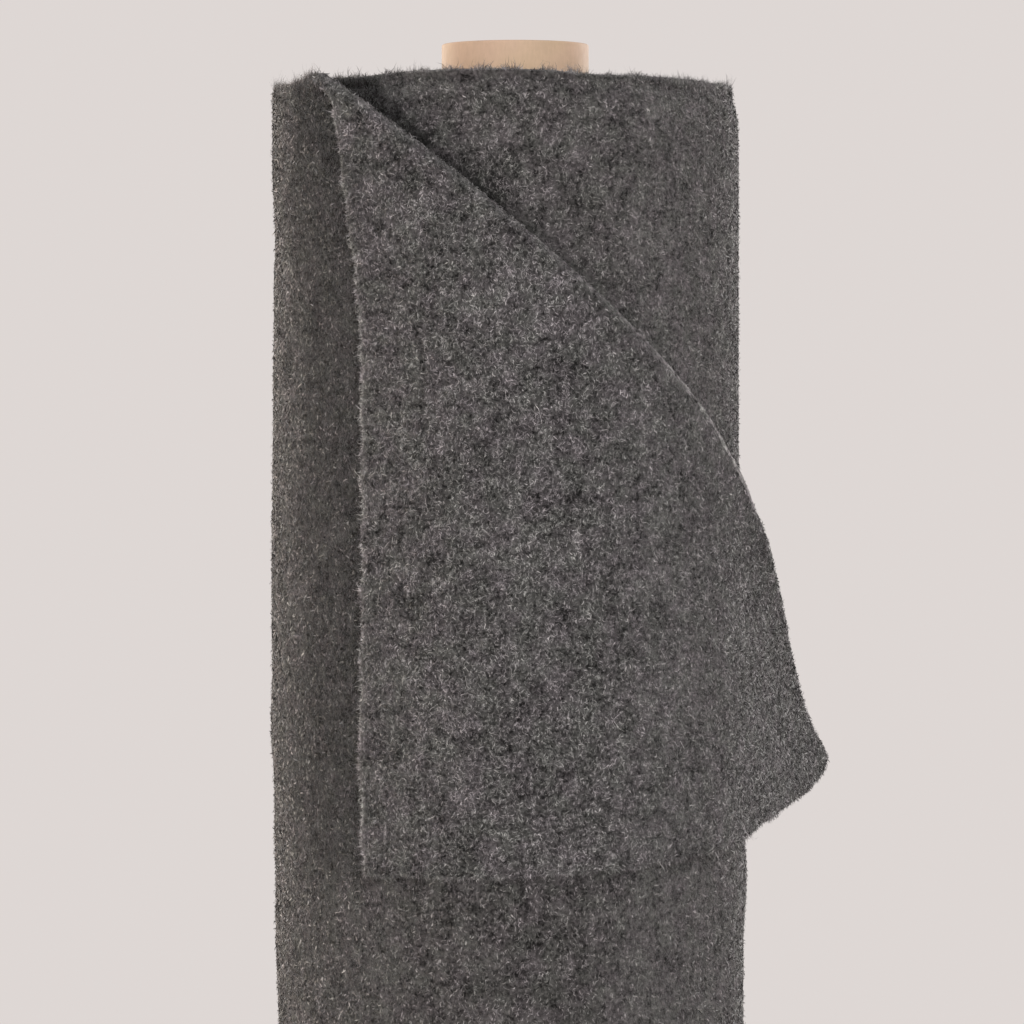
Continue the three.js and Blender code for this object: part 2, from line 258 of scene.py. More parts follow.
class Cloth:
    """The loose turn's shape: where a point of the flat cloth lies once it is wound and folded."""

    STEP = 2.0
    REACH = 2.0
    SPARE_BEFORE, SPARE_AFTER, SPARE_ABOVE = 8, 12, 13
    LEAD_IN = 3
    ANGLES = 336
    STRAIGHTEST = 85
    # Highest value of t times the 12th power of 1 - t
    TIP_PEAK = 0.0295

    def __init__(self, sizes):
        self.width = sizes.cloth_width / MM
        self.thick = sizes.cloth_thickness / MM
        self.gap = sizes.turn_gap / MM
        self.pitch = self.thick + self.gap
        self.begin = math.radians(LOOSE_START) * (ROOT_RADIUS + self.pitch)
        self.alongs = np.arange(self.begin - self.SPARE_BEFORE, CUT_END + self.SPARE_AFTER, 1.0)
        self.heights = np.arange(0, self.width + self.SPARE_ABOVE, self.STEP)
        self.tables = {column: self.table(column) for column in (UNDER, FLAP)}

    def wound_radius(self, angle, height):
        """Radius of the wound body's outer face."""
        spiral = self.pitch * (angle - ROOT_ANGLE) / TURN
        return ROOT_RADIUS + spiral + smooth_curve(GIRTH, height)

    def lying(self, angle, height):
        """Radius of the loose turn's middle where it lies on the body."""
        depth = np.clip((self.width - height) / BULGE_DEPTH, 0, 1)
        swell = SWELL * bell(height - SWELL_HEIGHT, SWELL_REACH)
        slack = (SLACK + swell) * hump(SLACK_ANGLES, angle)
        bulge = BULGE * hump(BULGE_ANGLES, angle) * ease(1 - depth)
        return self.wound_radius(angle, height) + self.gap + self.thick / 2 + slack + bulge

    def table(self, column):
        """Plan positions by height and by the distance along the cloth from the front."""
        angles = LOOSE_START - self.LEAD_IN + np.arange(self.ANGLES)[None, :]
        heights = self.heights[:, None]
        leaving = smooth_curve(LEAVING, heights, column)
        at = np.minimum(angles, leaving)
        straight = np.minimum(angles - at, self.STRAIGHTEST)
        radius = self.lying(at, heights) / np.cos(np.radians(straight))
        x = radius * np.sin(np.radians(angles))
        y = -radius * np.cos(np.radians(angles))
        steps = np.hypot(np.diff(x, axis=1), np.diff(y, axis=1))
        run = np.concatenate([np.zeros((len(heights), 1)), np.cumsum(steps, axis=1)], axis=1)
        run = run - run[:, self.LEAD_IN : self.LEAD_IN + 1] + self.begin
        rows = [
            (np.interp(self.alongs, run[k], x[k]), np.interp(self.alongs, run[k], y[k]))
            for k in range(len(heights))
        ]
        return np.array(rows).transpose(0, 2, 1)

    def place(self, along, height, column):
        """A point of the flat cloth in space, read from a table."""
        table = self.tables[column]
        a = np.clip(along - self.alongs[0], 0, len(self.alongs) - 1.001)
        h = np.clip(height / self.STEP, 0, len(self.heights) - 1.001)
        i, j = h.astype(int), a.astype(int)
        p, q = (h - i)[..., None], (a - j)[..., None]
        low = table[i, j] * (1 - q) + table[i, j + 1] * q
        high = table[i + 1, j] * (1 - q) + table[i + 1, j + 1] * q
        return np.concatenate([low * (1 - p) + high * p, height[..., None]], axis=-1)

    def frame(self, along, height, column):
        """Point, outward normal, sideways and upward directions."""
        reach = self.REACH
        low = np.minimum(height, self.width - reach)
        side = self.place(along + reach, height, column) - self.place(along - reach, height, column)
        up = self.place(along, low + reach, column) - self.place(along, low - reach, column)
        normal = unit(np.cross(side, up))
        wave = WAVE_LEVEL + WAVE_DEPTH * CLOTH_WAVES(along, height)
        point = self.place(along, height, column) + normal * wave[..., None]
        return point, normal, unit(side), unit(up)

    def fold_height(self, along):
        """Height of the fold on the flat cloth, or of the top edge before the fold's start."""
        past = np.maximum(0, along - FOLD_START)
        bow = smooth_curve(FOLD_BOW, past) - FOLD_END_DIP * ramp(along, FOLD_END)
        return self.width - past * math.tan(FOLD_ANGLE) + bow

    def flap_end(self, along):
        """Where the flap's free edge lies, for a place on the fold."""
        share = (along - FOLD_START) / (CUT_END - FOLD_START)
        height = self.width + (CORNER_HEIGHT - self.width) * share
        return np.minimum(smooth_curve(FLAP_EDGE, height), along - SHORTEST_FLAP), height

    def under(self, along, height):
        """Point and outward normal of the under ply."""
        point, normal, _, _ = self.frame(along, height, UNDER)
        return point, normal

    def fold(self, along, turn):
        """Point and normal on the half turn over the fold. The normal starts outward and ends inward."""
        point, normal, side, up = self.frame(along, self.fold_height(along), UNDER)
        outward = unit(side * math.sin(FOLD_ANGLE) + up * math.cos(FOLD_ANGLE))
        radius = FOLD_MIDDLE_GAP / 2
        c, s = np.cos(turn)[..., None], np.sin(turn)[..., None]
        return point + normal * radius * (1 - c) + outward * radius * s, normal * c - outward * s

    def brow(self, along):
        """The turn round the fold at which it passes out of sight from the front."""
        angle = np.clip(along / LYING_RADIUS, 0.05, 1.5)
        return math.pi - np.arctan(1 / (math.sin(FOLD_ANGLE) * np.tan(angle)))

    def flap_place(self, along, t):
        """The place on the flat cloth and the height that a point of the flap lies over."""
        share = (along - FOLD_START) / (CUT_END - FOLD_START)
        top = self.fold_height(along)
        end_along, end_height = self.flap_end(along)
        drop = CUT_SAG * share**2 * 4 * t * (1 - t)
        drop = drop + TIP_SAG * share**6 * t * (1 - t) ** 12 / self.TIP_PEAK
        return along + (end_along - along) * t, top + (end_height - top) * t - drop

    def cut_height(self, along):
        """Height of the flap's cut end over a place on the flat cloth."""
        cut = CUT_END + 0 * along
        t = (CUT_END - along) / (CUT_END - self.flap_end(cut)[0])
        return self.flap_place(cut, np.clip(t, 0, 1))[1]

    def flap(self, along, t):
        """Point and inward normal of the flap, for a place on the fold and a share of the way to the edge."""
        where, height = self.flap_place(along, t)
        away = (self.fold_height(where) - height) * math.cos(FOLD_ANGLE)
        lying = self.thick + PLY_GAP
        gap = lying + (FOLD_MIDDLE_GAP - lying) * np.exp(-away / PLY_SETTLE)
        point, normal, _, _ = self.frame(where, height, FLAP)
        return point + normal * gap[..., None], -normal


def painted_flap_shade(cloth, along, height):
    """Painted shade: how light the loose turn's colour is made left of the flap and below it, where the flap
    shades it.
    """
    past = smooth_curve(FLAP_EDGE, height) - along
    beside = ramp(past, BESIDE_FLAP)
    past = np.maximum(0, past)
    wide = bell(past, WIDE_REACH, 4)
    close = WIDE_SHADE * wide + NEAR_SHADE * bell(past, NEAR_REACH)
    shade = beside * (LOW_SHADE * wide + ramp(height, FLAP_LEVELS) * close)
    depth = np.maximum(0, cloth.cut_height(along) - height)
    below = BELOW_SHADE * ramp(along, BELOW_LEFT) * ramp(along, BELOW_RIGHT) * bell(depth, BELOW_REACH)
    return (1 - shade) * (1 - below)


def painted_crease_shade(cloth, along, height):
    """Painted shade: how light the wound body's colour is made near the fold that presses on it and in the
    gap beyond it.
    """
    away = np.maximum(0, height - cloth.fold_height(along)) * math.cos(FOLD_ANGLE)
    flare = np.minimum((FLARE_ALONG - along) / FLARE_FADE, MOST_FLARE)
    reach = CREASE_REACH + CREASE_FLARE * np.exp(flare)
    deep = CREASE * ramp(along, CREASE_SPAN) * bell(away, reach, 4)
    soft = SOFT_CREASE * ramp(along, SOFT_SPAN) * bell(away, SOFT_REACH)
    hidden = HIDDEN_WIDTH + HIDDEN_GROWTH * np.tan(np.clip(along / LYING_RADIUS, 0, MOST_HIDDEN))
    strength = (GAP_SHADE - GAP_EASING * ramp(along, GAP_EASES)) * ramp(along, GAP_SPAN)
    gap = strength * bell(np.maximum(0, away - hidden), GAP_REACH)
    return (1 - deep) * (1 - soft) * (1 - gap)


def bead_highlight(height):
    """How strong the painted highlight is that shows the flap's free edge as a light bead: less towards its
    top and at its corner.
    """
    return (1 - BEAD_FADING * ramp(height, BEAD_TOP)) * ramp(height, BEAD_CORNER)


def edge_share(distance, rounding=1.5, least=0.08):
    """How much of its full thickness the cloth has near a free edge."""
    return np.sqrt(np.clip(1 - (1 - np.clip(distance / rounding, 0, 1)) ** 2, least, 1))


def under_rows(cloth, a, pull):
    """The under ply up to the fold: points, normals, distances to a free edge, flat places and lightness from
    painted light and shade.
    """
    low = np.concatenate([np.array(BOTTOM_ROWS) + LOOSE_BOTTOM, MIDDLE_ROWS])
    top = cloth.fold_height(a)
    steps = np.linspace(0, 1, PLY_ROWS + 1)[1:]
    high = low[-1] + (top - EDGE_ROWS[0] - low[-1]) * steps
    near = top - EDGE_ROWS[None, 1:]
    heights = np.concatenate([np.broadcast_to(low, (len(a), len(low))), high, near], axis=1)
    ragged = 1.0 + 0.9 * EDGE_WAVES(heights, heights * 0 + 3)
    along = a - pull * ragged
    level = np.minimum(heights, np.where(heights > top - 4, heights, cloth.fold_height(along) - 0.4))
    points, normals = cloth.under(along, level)
    points[..., 2] -= EDGE_DROOP * ramp(a, DROOP_LEFT) * ramp(heights, DROOP_TOP)
    to_top = np.where(a <= FOLD_START, top - heights, np.inf)
    to_edge = np.minimum(to_top, np.minimum(CUT_END - a, heights - LOOSE_BOTTOM))
    flat = np.stack([a + heights * 0, heights], -1)
    return points, normals, to_edge, flat, painted_flap_shade(cloth, a + 0 * heights, heights)


def fold_rows(cloth, a, pull):
    """The half turn over the fold, as under_rows gives the under ply."""
    turn = np.linspace(0, math.pi, FOLD_ROWS + 1)[None, 1:] + 0 * a
    along = a - pull + 0 * turn
    points, normals = cloth.fold(np.clip(along, FOLD_START, CUT_END), turn)
    flat = np.stack([a + 0 * turn, cloth.fold_height(a) + 0 * turn], -1)
    # Painted highlight along the fold's brow, where it passes out of sight from the front
    light = sum(strength * ramp(a, span) for strength, span in CREST_LIGHTS)
    crest = bell(turn - cloth.brow(a), CREST_REACH) * light * ramp(a, CREST_END)
    return points, normals, CUT_END - a + 0 * turn, flat, 1 + crest


def flap_rows(cloth, a, pull):
    """The flap from the fold to its free edge, as under_rows gives the under ply."""
    top = cloth.fold_height(a)
    begin = np.maximum(a, FOLD_START)
    end_along, end_height = cloth.flap_end(begin)
    line = np.hypot(a - end_along, top - end_height) + 1
    near = 1 - EDGE_ROWS[None, :] * np.minimum(1, line / 14) / line
    steps = np.linspace(0, 1, PLY_ROWS + 1)[None, 1:-1] * near[:, :1]
    t = np.concatenate([steps, near], axis=1)
    to_side = (1 - t) * line
    notch = 0.7 + 0.45 * EDGE_WAVES(t * line * 0.6, t * 0 + 40)
    along = begin + 0 * t - pull * notch
    selvedge = 0.5 * EDGE_WAVES(a + 0 * t, t * 0 + 80) * ramp(t, (0.9, 1.0))
    points, normals = cloth.flap(along, t - selvedge / line)
    lifted = 1.3 * ramp(to_side, (11, 0)) * ramp(line, (0, 30))
    points = points - normals * lifted[..., None]
    flat = np.stack([a + 0 * t, top + t * (cloth.width - top)], -1)
    # Painted highlight along the flap's free edge
    bead = bell(to_side - BEAD_DEPTH, BEAD_REACH) * ramp(line, (0, 30)) * bead_highlight(end_height)
    # Painted shade on the part of the flap that hangs clear of the roll
    painted_hanging_shade = 1 - HANGING_SHADE * ramp(cloth.flap_place(along, t)[0], HANGING)
    return points, normals, np.minimum(CUT_END - a, to_side), flat, (1 + BEAD_LIGHT * bead) * painted_hanging_shade


def loose_grid(cloth):
    """The loose turn's mesh: middle points, normals, half thickness, flat places, lightness from painted
    light and shade, used cells.
    """
    before = np.append(np.arange(cloth.begin - 0.3, FOLD_START - 2, LEFT_STEP), FOLD_START)
    after = np.arange(FOLD_START + 3, CUT_END - 5, RIGHT_STEP)
    alongs = np.concatenate([before, after, CUT_END - EDGE_ROWS])
    a = alongs[:, None]
    pull = np.clip((a - (CUT_END - ROUGH_CUT)) / ROUGH_CUT, 0, 1) ** 2
    parts = [rows(cloth, a, pull) for rows in (under_rows, fold_rows, flap_rows)]
    # The last of each part is the painted light and shade, a factor on the colour that the mesh carries as
    # lean
    points, normals, distance, flat, lean = (np.concatenate(part, axis=1) for part in zip(*parts))
    fold_row = parts[0][0].shape[1]
    used = np.ones((len(alongs) - 1, points.shape[1] - 1), bool)
    used[: len(before), fold_row - 1 :] = False
    ply = np.zeros(points.shape[:2])
    ply[:, fold_row:] = 1
    return {
        "alongs": alongs,
        "points": points,
        "normals": normals,
        "half": cloth.thick / 2 * edge_share(distance),
        "flat": flat,
        "used": used,
        "ply": ply,
        "lean": lean,
        "under": slice(0, fold_row),
        "flap": slice(fold_row + FOLD_ROWS, None),
        "first_fold": len(before),
    }


def new_mesh(name, points, faces, uv=None, smooth=True, normals=None, **marks):
    """A mesh piece from points in millimetres about the roll's axis."""
    mesh = bpy.data.meshes.new(name)
    mesh.vertices.add(len(points))
    mesh.vertices.foreach_set("co", (points * MM + AXIS).astype(np.float32).ravel())
    sizes = np.concatenate([np.full(len(f), f.shape[1]) for f in faces])
    corners = np.concatenate([f.ravel() for f in faces])
    mesh.loops.add(len(corners))
    mesh.loops.foreach_set("vertex_index", corners.astype(np.int32))
    mesh.polygons.add(len(sizes))
    starts = np.concatenate([[0], np.cumsum(sizes)[:-1]])
    mesh.polygons.foreach_set("loop_start", starts.astype(np.int32))
    mesh.polygons.foreach_set("use_smooth", np.full(len(sizes), smooth))
    mesh.update(calc_edges=True)
    if uv is not None:
        layer = mesh.uv_layers.new(name="OFBake")
        layer.uv.foreach_set("vector", uv[corners].astype(np.float32).ravel())
    for key, values in marks.items():
        mark = mesh.attributes.new(key, "FLOAT", "POINT")
        mark.data.foreach_set("value", values.astype(np.float32).ravel())
    mesh.validate()
    if normals is not None:
        mesh.normals_split_custom_set_from_vertices(normals.tolist())
    piece = bpy.data.objects.new(name, mesh)
    bpy.context.scene.collection.objects.link(piece)
    return piece


def shell(points, normals, half, used):
    """A sheet's two faces and the walls along its free edges: vertices, quads and the vertices' cells."""
    columns, rows = half.shape
    index = np.arange(columns * rows).reshape(columns, rows)
    a, b = index[:-1, :-1][used], index[1:, :-1][used]
    quads = np.stack([a, b, b + 1, a + 1], axis=1)
    count = columns * rows
    ways = np.concatenate([quads[:, [k, (k + 1) % 4]] for k in range(4)])
    forward, back = ways[:, 0] * count + ways[:, 1], ways[:, 1] * count + ways[:, 0]
    rim = ways[~np.isin(forward, back)]
    walls = np.stack([rim[:, 1], rim[:, 0], rim[:, 0] + count, rim[:, 1] + count], axis=1)
    faces = np.concatenate([quads, quads[:, ::-1] + count, walls])
    offset = normals * half[..., None]
    both = np.concatenate([(points + offset).reshape(-1, 3), (points - offset).reshape(-1, 3)])
    kept, faces = np.unique(faces, return_inverse=True)
    return both[kept], faces.reshape(-1, 4), kept


# Materials

def fill(tree, node, inputs):
    """Sets a node's inputs to values, or links them from output sockets."""
    for key, value in inputs.items():
        if isinstance(value, bpy.types.NodeSocket):
            tree.links.new(value, node.inputs[key])
        else:
            node.inputs[key].default_value = value


def add_node(tree, kind, inputs=None, **settings):
    """Adds a node with its settings and its inputs."""
    node = tree.nodes.new(kind)
    for key, value in settings.items():
        setattr(node, key, value)
    fill(tree, node, inputs or {})
    return node


def calc(tree, operation, *values):
    node = add_node(tree, "ShaderNodeMath", dict(enumerate(values)), operation=operation)
    return node.outputs[0]


def vector_calc(tree, operation, first, second):
    node = add_node(tree, "ShaderNodeVectorMath", {0: first, 1: second}, operation=operation)
    return node.outputs[0]


def shaded(tree, colour, tone):
    """A colour made lighter or darker by a tone."""
    node = add_node(tree, "ShaderNodeVectorMath", {0: colour, "Scale": tone}, operation="SCALE")
    return node.outputs[0]


def between_colours(tree, factor, first, second):
    colours = {"Factor": factor, "A": (*first, 1), "B": (*second, 1)}
    return add_node(tree, "ShaderNodeMix", colours, data_type="RGBA").outputs[2]


def noise(tree, vector, scale, detail=2.0, roughness=0.55, distortion=0.0):
    """The value of a noise, from 0 to 1 and about 0.5 on average."""
    values = {"Vector": vector, "Scale": scale, "Detail": detail, "Roughness": roughness}
    return add_node(tree, "ShaderNodeTexNoise", {**values, "Distortion": distortion}).outputs[0]


def ridge(tree, value, sharpness):
    """Thin light lines where a noise passes its middle value."""
    spread = calc(tree, "ABSOLUTE", calc(tree, "MULTIPLY_ADD", value, 2.0, -1.0))
    return calc(tree, "POWER", calc(tree, "SUBTRACT", 1.0, spread), sharpness)


def bump(tree, height, strength, distance):
    values = {"Strength": strength, "Distance": distance, "Height": height}
    return add_node(tree, "ShaderNodeBump", values).outputs[0]


def object_place(tree):
    return add_node(tree, "ShaderNodeTexCoord").outputs["Object"]


def point_value(tree, name):
    """A value that the mesh carries at its points."""
    return add_node(tree, "ShaderNodeAttribute", attribute_name=name).outputs["Fac"]


def weighted(tree, parts):
    """Sum of noises about their middle, each given with its strength."""
    total = 0.0
    for value, strength, middle in parts:
        total = calc(tree, "MULTIPLY_ADD", value, strength, calc(tree, "ADD", total, -strength * middle))
    return total


def new_group(name, inputs, outputs):
    """A shader node group with named sockets. Returns the group and its inner input and output nodes."""
    group = bpy.data.node_groups.new(name, "ShaderNodeTree")
    for label, kind, default in inputs:
        socket = group.interface.new_socket(label, in_out="INPUT", socket_type=kind)
        if default is not None:
            socket.default_value = default
    for label, kind in outputs:
        group.interface.new_socket(label, in_out="OUTPUT", socket_type=kind)
    return group, group.nodes.new("NodeGroupInput"), group.nodes.new("NodeGroupOutput")


def heather_group():
    """Tangled light fibres on a dark ground, in clumps and patches with faint threads and changes of hue."""
    known = bpy.data.node_groups.get("wool_heather")
    if known:
        return known
    inputs = [
        ("Vector", "NodeSocketVector", None),
        ("Color", "NodeSocketColor", (0.09, 0.08, 0.08, 1)),
        ("Curls", "NodeSocketFloat", 1.0),
        ("Clumps", "NodeSocketFloat", 1.0),
        ("Patches", "NodeSocketFloat", 1.0),
        ("Streaks", "NodeSocketFloat", 0.0),
    ]
    outputs = [("Color", "NodeSocketColor"), ("Height", "NodeSocketFloat")]
    group, given, result = new_group("wool_heather", inputs, outputs)
    vector = given.outputs["Vector"]
    fine = ridge(group, noise(group, vector, 1500, 1, 0.6, 1.2), 2.0)
    curly = ridge(group, noise(group, vector, 640, 1, 0.6, 1.8), 2.5)
    upright = vector_calc(group, "MULTIPLY", vector, (1.0, 1.0, 0.16))
    level = vector_calc(group, "MULTIPLY", vector, (0.16, 0.16, 1.0))
    curls = weighted(group, [(fine, 0.7, 0.62), (curly, 0.8, 0.58)])
    clumps = weighted(
        group,
        [
            (noise(group, vector, 800, 0, 0.5, 0.6), 1.8, 0.5),
            (noise(group, vector, 400, 0, 0.5, 0.5), 1.0, 0.5),
        ],
    )
    patches = weighted(
        group,
        [
            (noise(group, vector, 180, 0), 0.75, 0.5),
            (noise(group, vector, 85, 0), 0.35, 0.5),
            (noise(group, vector, 32, 1), 0.3, 0.5),
            (noise(group, upright, 330, 0), 0.3, 0.5),
            (noise(group, level, 330, 0), 0.3, 0.5),
        ],
    )
    streaks = weighted(group, [(noise(group, upright, 700, 1), 2.2, 0.5)])
    tone = 1.0
    for part, strength in ((curls, "Curls"), (clumps, "Clumps"), (patches, "Patches"), (streaks, "Streaks")):
        tone = calc(group, "MULTIPLY_ADD", part, given.outputs[strength], tone)
    tone = calc(group, "MAXIMUM", tone, 0.15)
    factor = calc(group, "MULTIPLY_ADD", noise(group, vector, 120, 1), 3.0, -1.0)
    hue = between_colours(group, factor, (1.024, 0.988, 1.026), (0.974, 1.014, 0.976))
    tinted = vector_calc(group, "MULTIPLY", given.outputs["Color"], hue)
    height = calc(group, "ADD", fine, curly)
    fill(group, result, {"Color": shaded(group, tinted, tone), "Height": height})
    return group


def heather(tree, looks, values):
    """The wool's pattern in a material. Returns its colour and its height."""
    shared = {"Vector": object_place(tree), "Clumps": looks.clumps, "Patches": looks.patches}
    node = add_node(tree, "ShaderNodeGroup", {**shared, **values}, node_tree=heather_group())
    return node.outputs["Color"], node.outputs["Height"]


def new_material(name):
    material = bpy.data.materials.new(name)
    material.use_nodes = True
    tree = material.node_tree
    return material, tree, tree.nodes["Principled BSDF"]


def cloth_material(name, colour, flap_colour, looks):
    """The cloth's ground: painted shade under its nap, combed upright on the roll and tangled on the flap,
    times the painted light and shade that the mesh carries as lean.
    """
    material, tree, surface = new_material(name)
    ply, nap, lean = (point_value(tree, key) for key in ("ply", "nap", "lean"))
    combed = calc(tree, "MULTIPLY_ADD", ply, -0.8 * looks.streaks, looks.streaks)
    ground = between_colours(tree, ply, colour, flap_colour)
    values = {"Color": ground, "Curls": looks.curls, "Streaks": combed}
    pattern, height = heather(tree, looks, values)
    # Painted shade under the nap, times the painted light and shade in the lean values
    shade = calc(tree, "MULTIPLY", calc(tree, "MULTIPLY_ADD", nap, -looks.ground_shade, 1.0), lean)
    values = {
        "Base Color": shaded(tree, pattern, shade),
        "Normal": bump(tree, height, 0.8, 0.0006),
        "Roughness": 0.95,
        "Specular IOR Level": 0.15,
        "Sheen Weight": looks.sheen,
        "Sheen Roughness": 0.16,
    }
    fill(tree, surface, values)
    return material


def fibre_material(name, colour, looks):
    """Single wool fibres: each has its own tone, within the cloth's lighter and darker patches."""
    material, tree, surface = new_material(name)
    pattern, _ = heather(tree, looks, {"Color": (*colour, 1), "Curls": 0.3})
    values = {
        "Base Color": shaded(tree, pattern, point_value(tree, "tone")),
        "Roughness": 0.85,
        "Specular IOR Level": 0.2,
        "Sheen Weight": looks.sheen,
        "Sheen Roughness": 0.16,
    }
    fill(tree, surface, values)
    return material


# The tube's wound seam: its pitch up the tube, its climb in metres for each radian and half its width
SEAM_PITCH, SEAM_CLIMB, SEAM_HALF = 0.1005, 0.016, 0.0003


def board_material(colour):
    """Smooth kraft board: soft blotches, fine paper fibres, a faint wound seam and plies at its ends."""
    material, tree, surface = new_material("kraft_board")
    place = object_place(tree)
    centre = ((TUBE_LOW.x + TUBE_HIGH.x) / 2, (TUBE_LOW.y + TUBE_HIGH.y) / 2, 0.0)
    about = vector_calc(tree, "SUBTRACT", place, centre)
    x, y, z = add_node(tree, "ShaderNodeSeparateXYZ", {0: about}).outputs
    across = add_node(tree, "ShaderNodeCombineXYZ", {"X": x, "Y": y}).outputs[0]
    radius = add_node(tree, "ShaderNodeVectorMath", {0: across}, operation="LENGTH").outputs["Value"]
    blotch = calc(tree, "MULTIPLY_ADD", noise(tree, place, 60, 3, 0.6), 0.36, 0.82)
    paper = vector_calc(tree, "MULTIPLY", place, (1.0, 1.0, 0.3))
    grain = calc(tree, "MULTIPLY_ADD", noise(tree, paper, 900, 3, 0.7), 0.22, 0.89)
    rings = {"W": radius, "Scale": 2600.0, "Detail": 1.0}
    plies = add_node(tree, "ShaderNodeTexNoise", rings, noise_dimensions="1D").outputs[0]
    facing = add_node(tree, "ShaderNodeNewGeometry").outputs["Normal"]
    level = calc(tree, "ABSOLUTE", add_node(tree, "ShaderNodeSeparateXYZ", {0: facing}).outputs["Z"])
    ends = calc(tree, "MULTIPLY_ADD", calc(tree, "MULTIPLY_ADD", plies, 0.9, -0.5), level, 1.0)
    climb = calc(tree, "MULTIPLY_ADD", calc(tree, "ARCTAN2", y, x), SEAM_CLIMB, z)
    past_seam = calc(tree, "FLOORED_MODULO", climb, SEAM_PITCH)
    from_seam = calc(tree, "ABSOLUTE", calc(tree, "SUBTRACT", past_seam, 0.05))
    seam = calc(tree, "MULTIPLY_ADD", calc(tree, "LESS_THAN", from_seam, SEAM_HALF), -0.1, 1.0)
    tone = calc(tree, "MULTIPLY", calc(tree, "MULTIPLY", blotch, grain), calc(tree, "MULTIPLY", ends, seam))
    factor = calc(tree, "MULTIPLY_ADD", noise(tree, place, 34, 2), 3.0, -1.0)
    red, green, blue = colour
    hue = between_colours(tree, factor, colour, (red * 0.94, green * 0.98, blue * 0.9))
    values = {
        "Base Color": shaded(tree, hue, tone),
        "Normal": bump(tree, grain, 0.35, 0.0002),
        "Roughness": calc(tree, "MULTIPLY_ADD", noise(tree, place, 300, 2), 0.2, 0.62),
        "Specular IOR Level": 0.35,
    }
    fill(tree, surface, values)
    return material


# Fibres

def scatter(points, normals, weight, number, rng):
    """Roots picked over a grid's cells by area and weight.

    Returns each root's place, normal, level and upward directions, and a function that reads a grid there.
    """
    side = points[1:, :-1] - points[:-1, :-1]
    up = points[:-1, 1:] - points[:-1, :-1]
    area = length_of(np.cross(side, up))[..., 0] * weight
    chance = area.ravel() / area.sum()
    pick = rng.choice(area.size, number, p=chance)
    i, j = np.unravel_index(pick, area.shape)
    u, v = rng.random(number)[:, None], rng.random(number)[:, None]

    def between(grid):
        low = grid[i, j] * (1 - u) + grid[i + 1, j] * u
        high = grid[i, j + 1] * (1 - u) + grid[i + 1, j + 1] * u
        return low * (1 - v) + high * v

    normal = unit(between(normals))
    up = unit(UP - normal * normal[:, 2:])
    return between(points), normal, np.cross(up, normal), up, between


def fibre_mesh(name, roots, heading, normal, looks, rng):
    """Small curved ribbons that taper to a point. looks has their lengths, widths, lifts, curls, tones."""
    count = len(roots)
    across = unit(np.cross(heading, normal))
    lengths, widths, lift, curl, tone = (looks[k] for k in ("length", "width", "lift", "curl", "tone"))
    roll = rng.uniform(-0.9, 0.9, count)[:, None]
    flat = across * np.cos(roll) + normal * np.sin(roll)
    bend = (curl * lengths)[:, None] * across
    middle = roots + heading * (lengths * 0.52)[:, None] + normal * (lift * 0.75)[:, None] + bend * 0.8
    tip = roots + heading * (lengths * 0.95)[:, None] + normal * lift[:, None] - bend * 0.25
    half = flat * (widths / 2)[:, None]
    points = np.stack([roots - half, roots + half, middle - half * 0.85, middle + half * 0.85, tip], axis=1)
    first = np.arange(count)[:, None] * 5
    quads = first + np.array([[0, 1, 3, 2]])
    tips = first + np.array([[2, 3, 4]])
    per_row = math.ceil(math.sqrt(count))
    cell = np.stack([np.arange(count) % per_row, np.arange(count) // per_row], axis=1)[:, None, :]
    corners = np.array([[0.15, 0.15], [0.85, 0.15], [0.15, 0.5], [0.85, 0.5], [0.5, 0.9]])[None]
    uv = ((cell + corners) / per_row).reshape(-1, 2)
    shading = np.repeat(unit(normal + rng.normal(0, 0.28, (count, 3))), 5, axis=0)
    tones = np.repeat(tone, 5)
    return new_mesh(name, points.reshape(-1, 3), [quads, tips], uv=uv, normals=shading, tone=tones)


def fibre_looks(count, rng, nap, length=1.0, lift=(0.1, 0.7), standing=0.09, tone=1.0, spread=0.42):
    """Lengths, widths, lifts, curls and tones of nap fibres, with a few that stand up further."""
    lifts = rng.uniform(*lift, count)
    up = rng.random(count) < standing
    lifts[up] += rng.uniform(0.2, 0.9, up.sum())
    return {
        "length": nap.fibre_length / MM * length * rng.uniform(0.55, 1.35, count),
        "width": nap.fibre_width / MM * rng.uniform(0.7, 1.4, count),
        "lift": lifts,
        "curl": rng.normal(0, 0.22, count),
        "tone": tone * np.exp(np.clip(rng.normal(0, spread, count), -1.4, 0.8)),
    }


def headings(side, up, rng, droop=0.0, comb=0.0):
    """Random directions on the surface, drawn downward by droop and into the upright by comb."""
    angle = rng.uniform(0, 2 * math.pi, len(side))[:, None]
    across, along = np.cos(angle) * (1 - comb), np.sin(angle) - droop
    return unit(side * across + up * along)


# Settings

def length_setting(name, description, default, precision=4):
    return FloatProperty(
        name=name, description=description, default=default, unit="LENGTH", precision=precision
    )


def colour_setting(name, description, default):
    return FloatVectorProperty(
        name=name, description=description, default=default, subtype="COLOR", min=0, max=1
    )


def factor_setting(name, description, default):
    return FloatProperty(name=name, description=description, default=default, subtype="FACTOR")


def power_setting(name, description, default):
    return FloatProperty(name=name, description=description, default=default, unit="POWER")


def count_setting(name, description, default):
    return IntProperty(name=name, description=description, default=default, min=100)


class RollSizes(PropertyGroup):
    """Sizes of the roll"""

    cloth_width: length_setting("Cloth width", "Width of the cloth and length of the roll", 1.5)
    cloth_thickness: length_setting("Cloth thickness", "Thickness of the cloth", 0.0022)
    turn_gap: length_setting("Gap between turns", "Room that the nap takes between turns", 0.00045, 5)
    tube_radius: length_setting("Tube radius", "Outer radius of the tube", (TUBE_HIGH.x - TUBE_LOW.x) / 2)
    tube_wall: length_setting("Tube wall", "Thickness of the tube", 0.0035)
    tube_height: length_setting("Tube length", "Length of the tube", TUBE_HIGH.z)


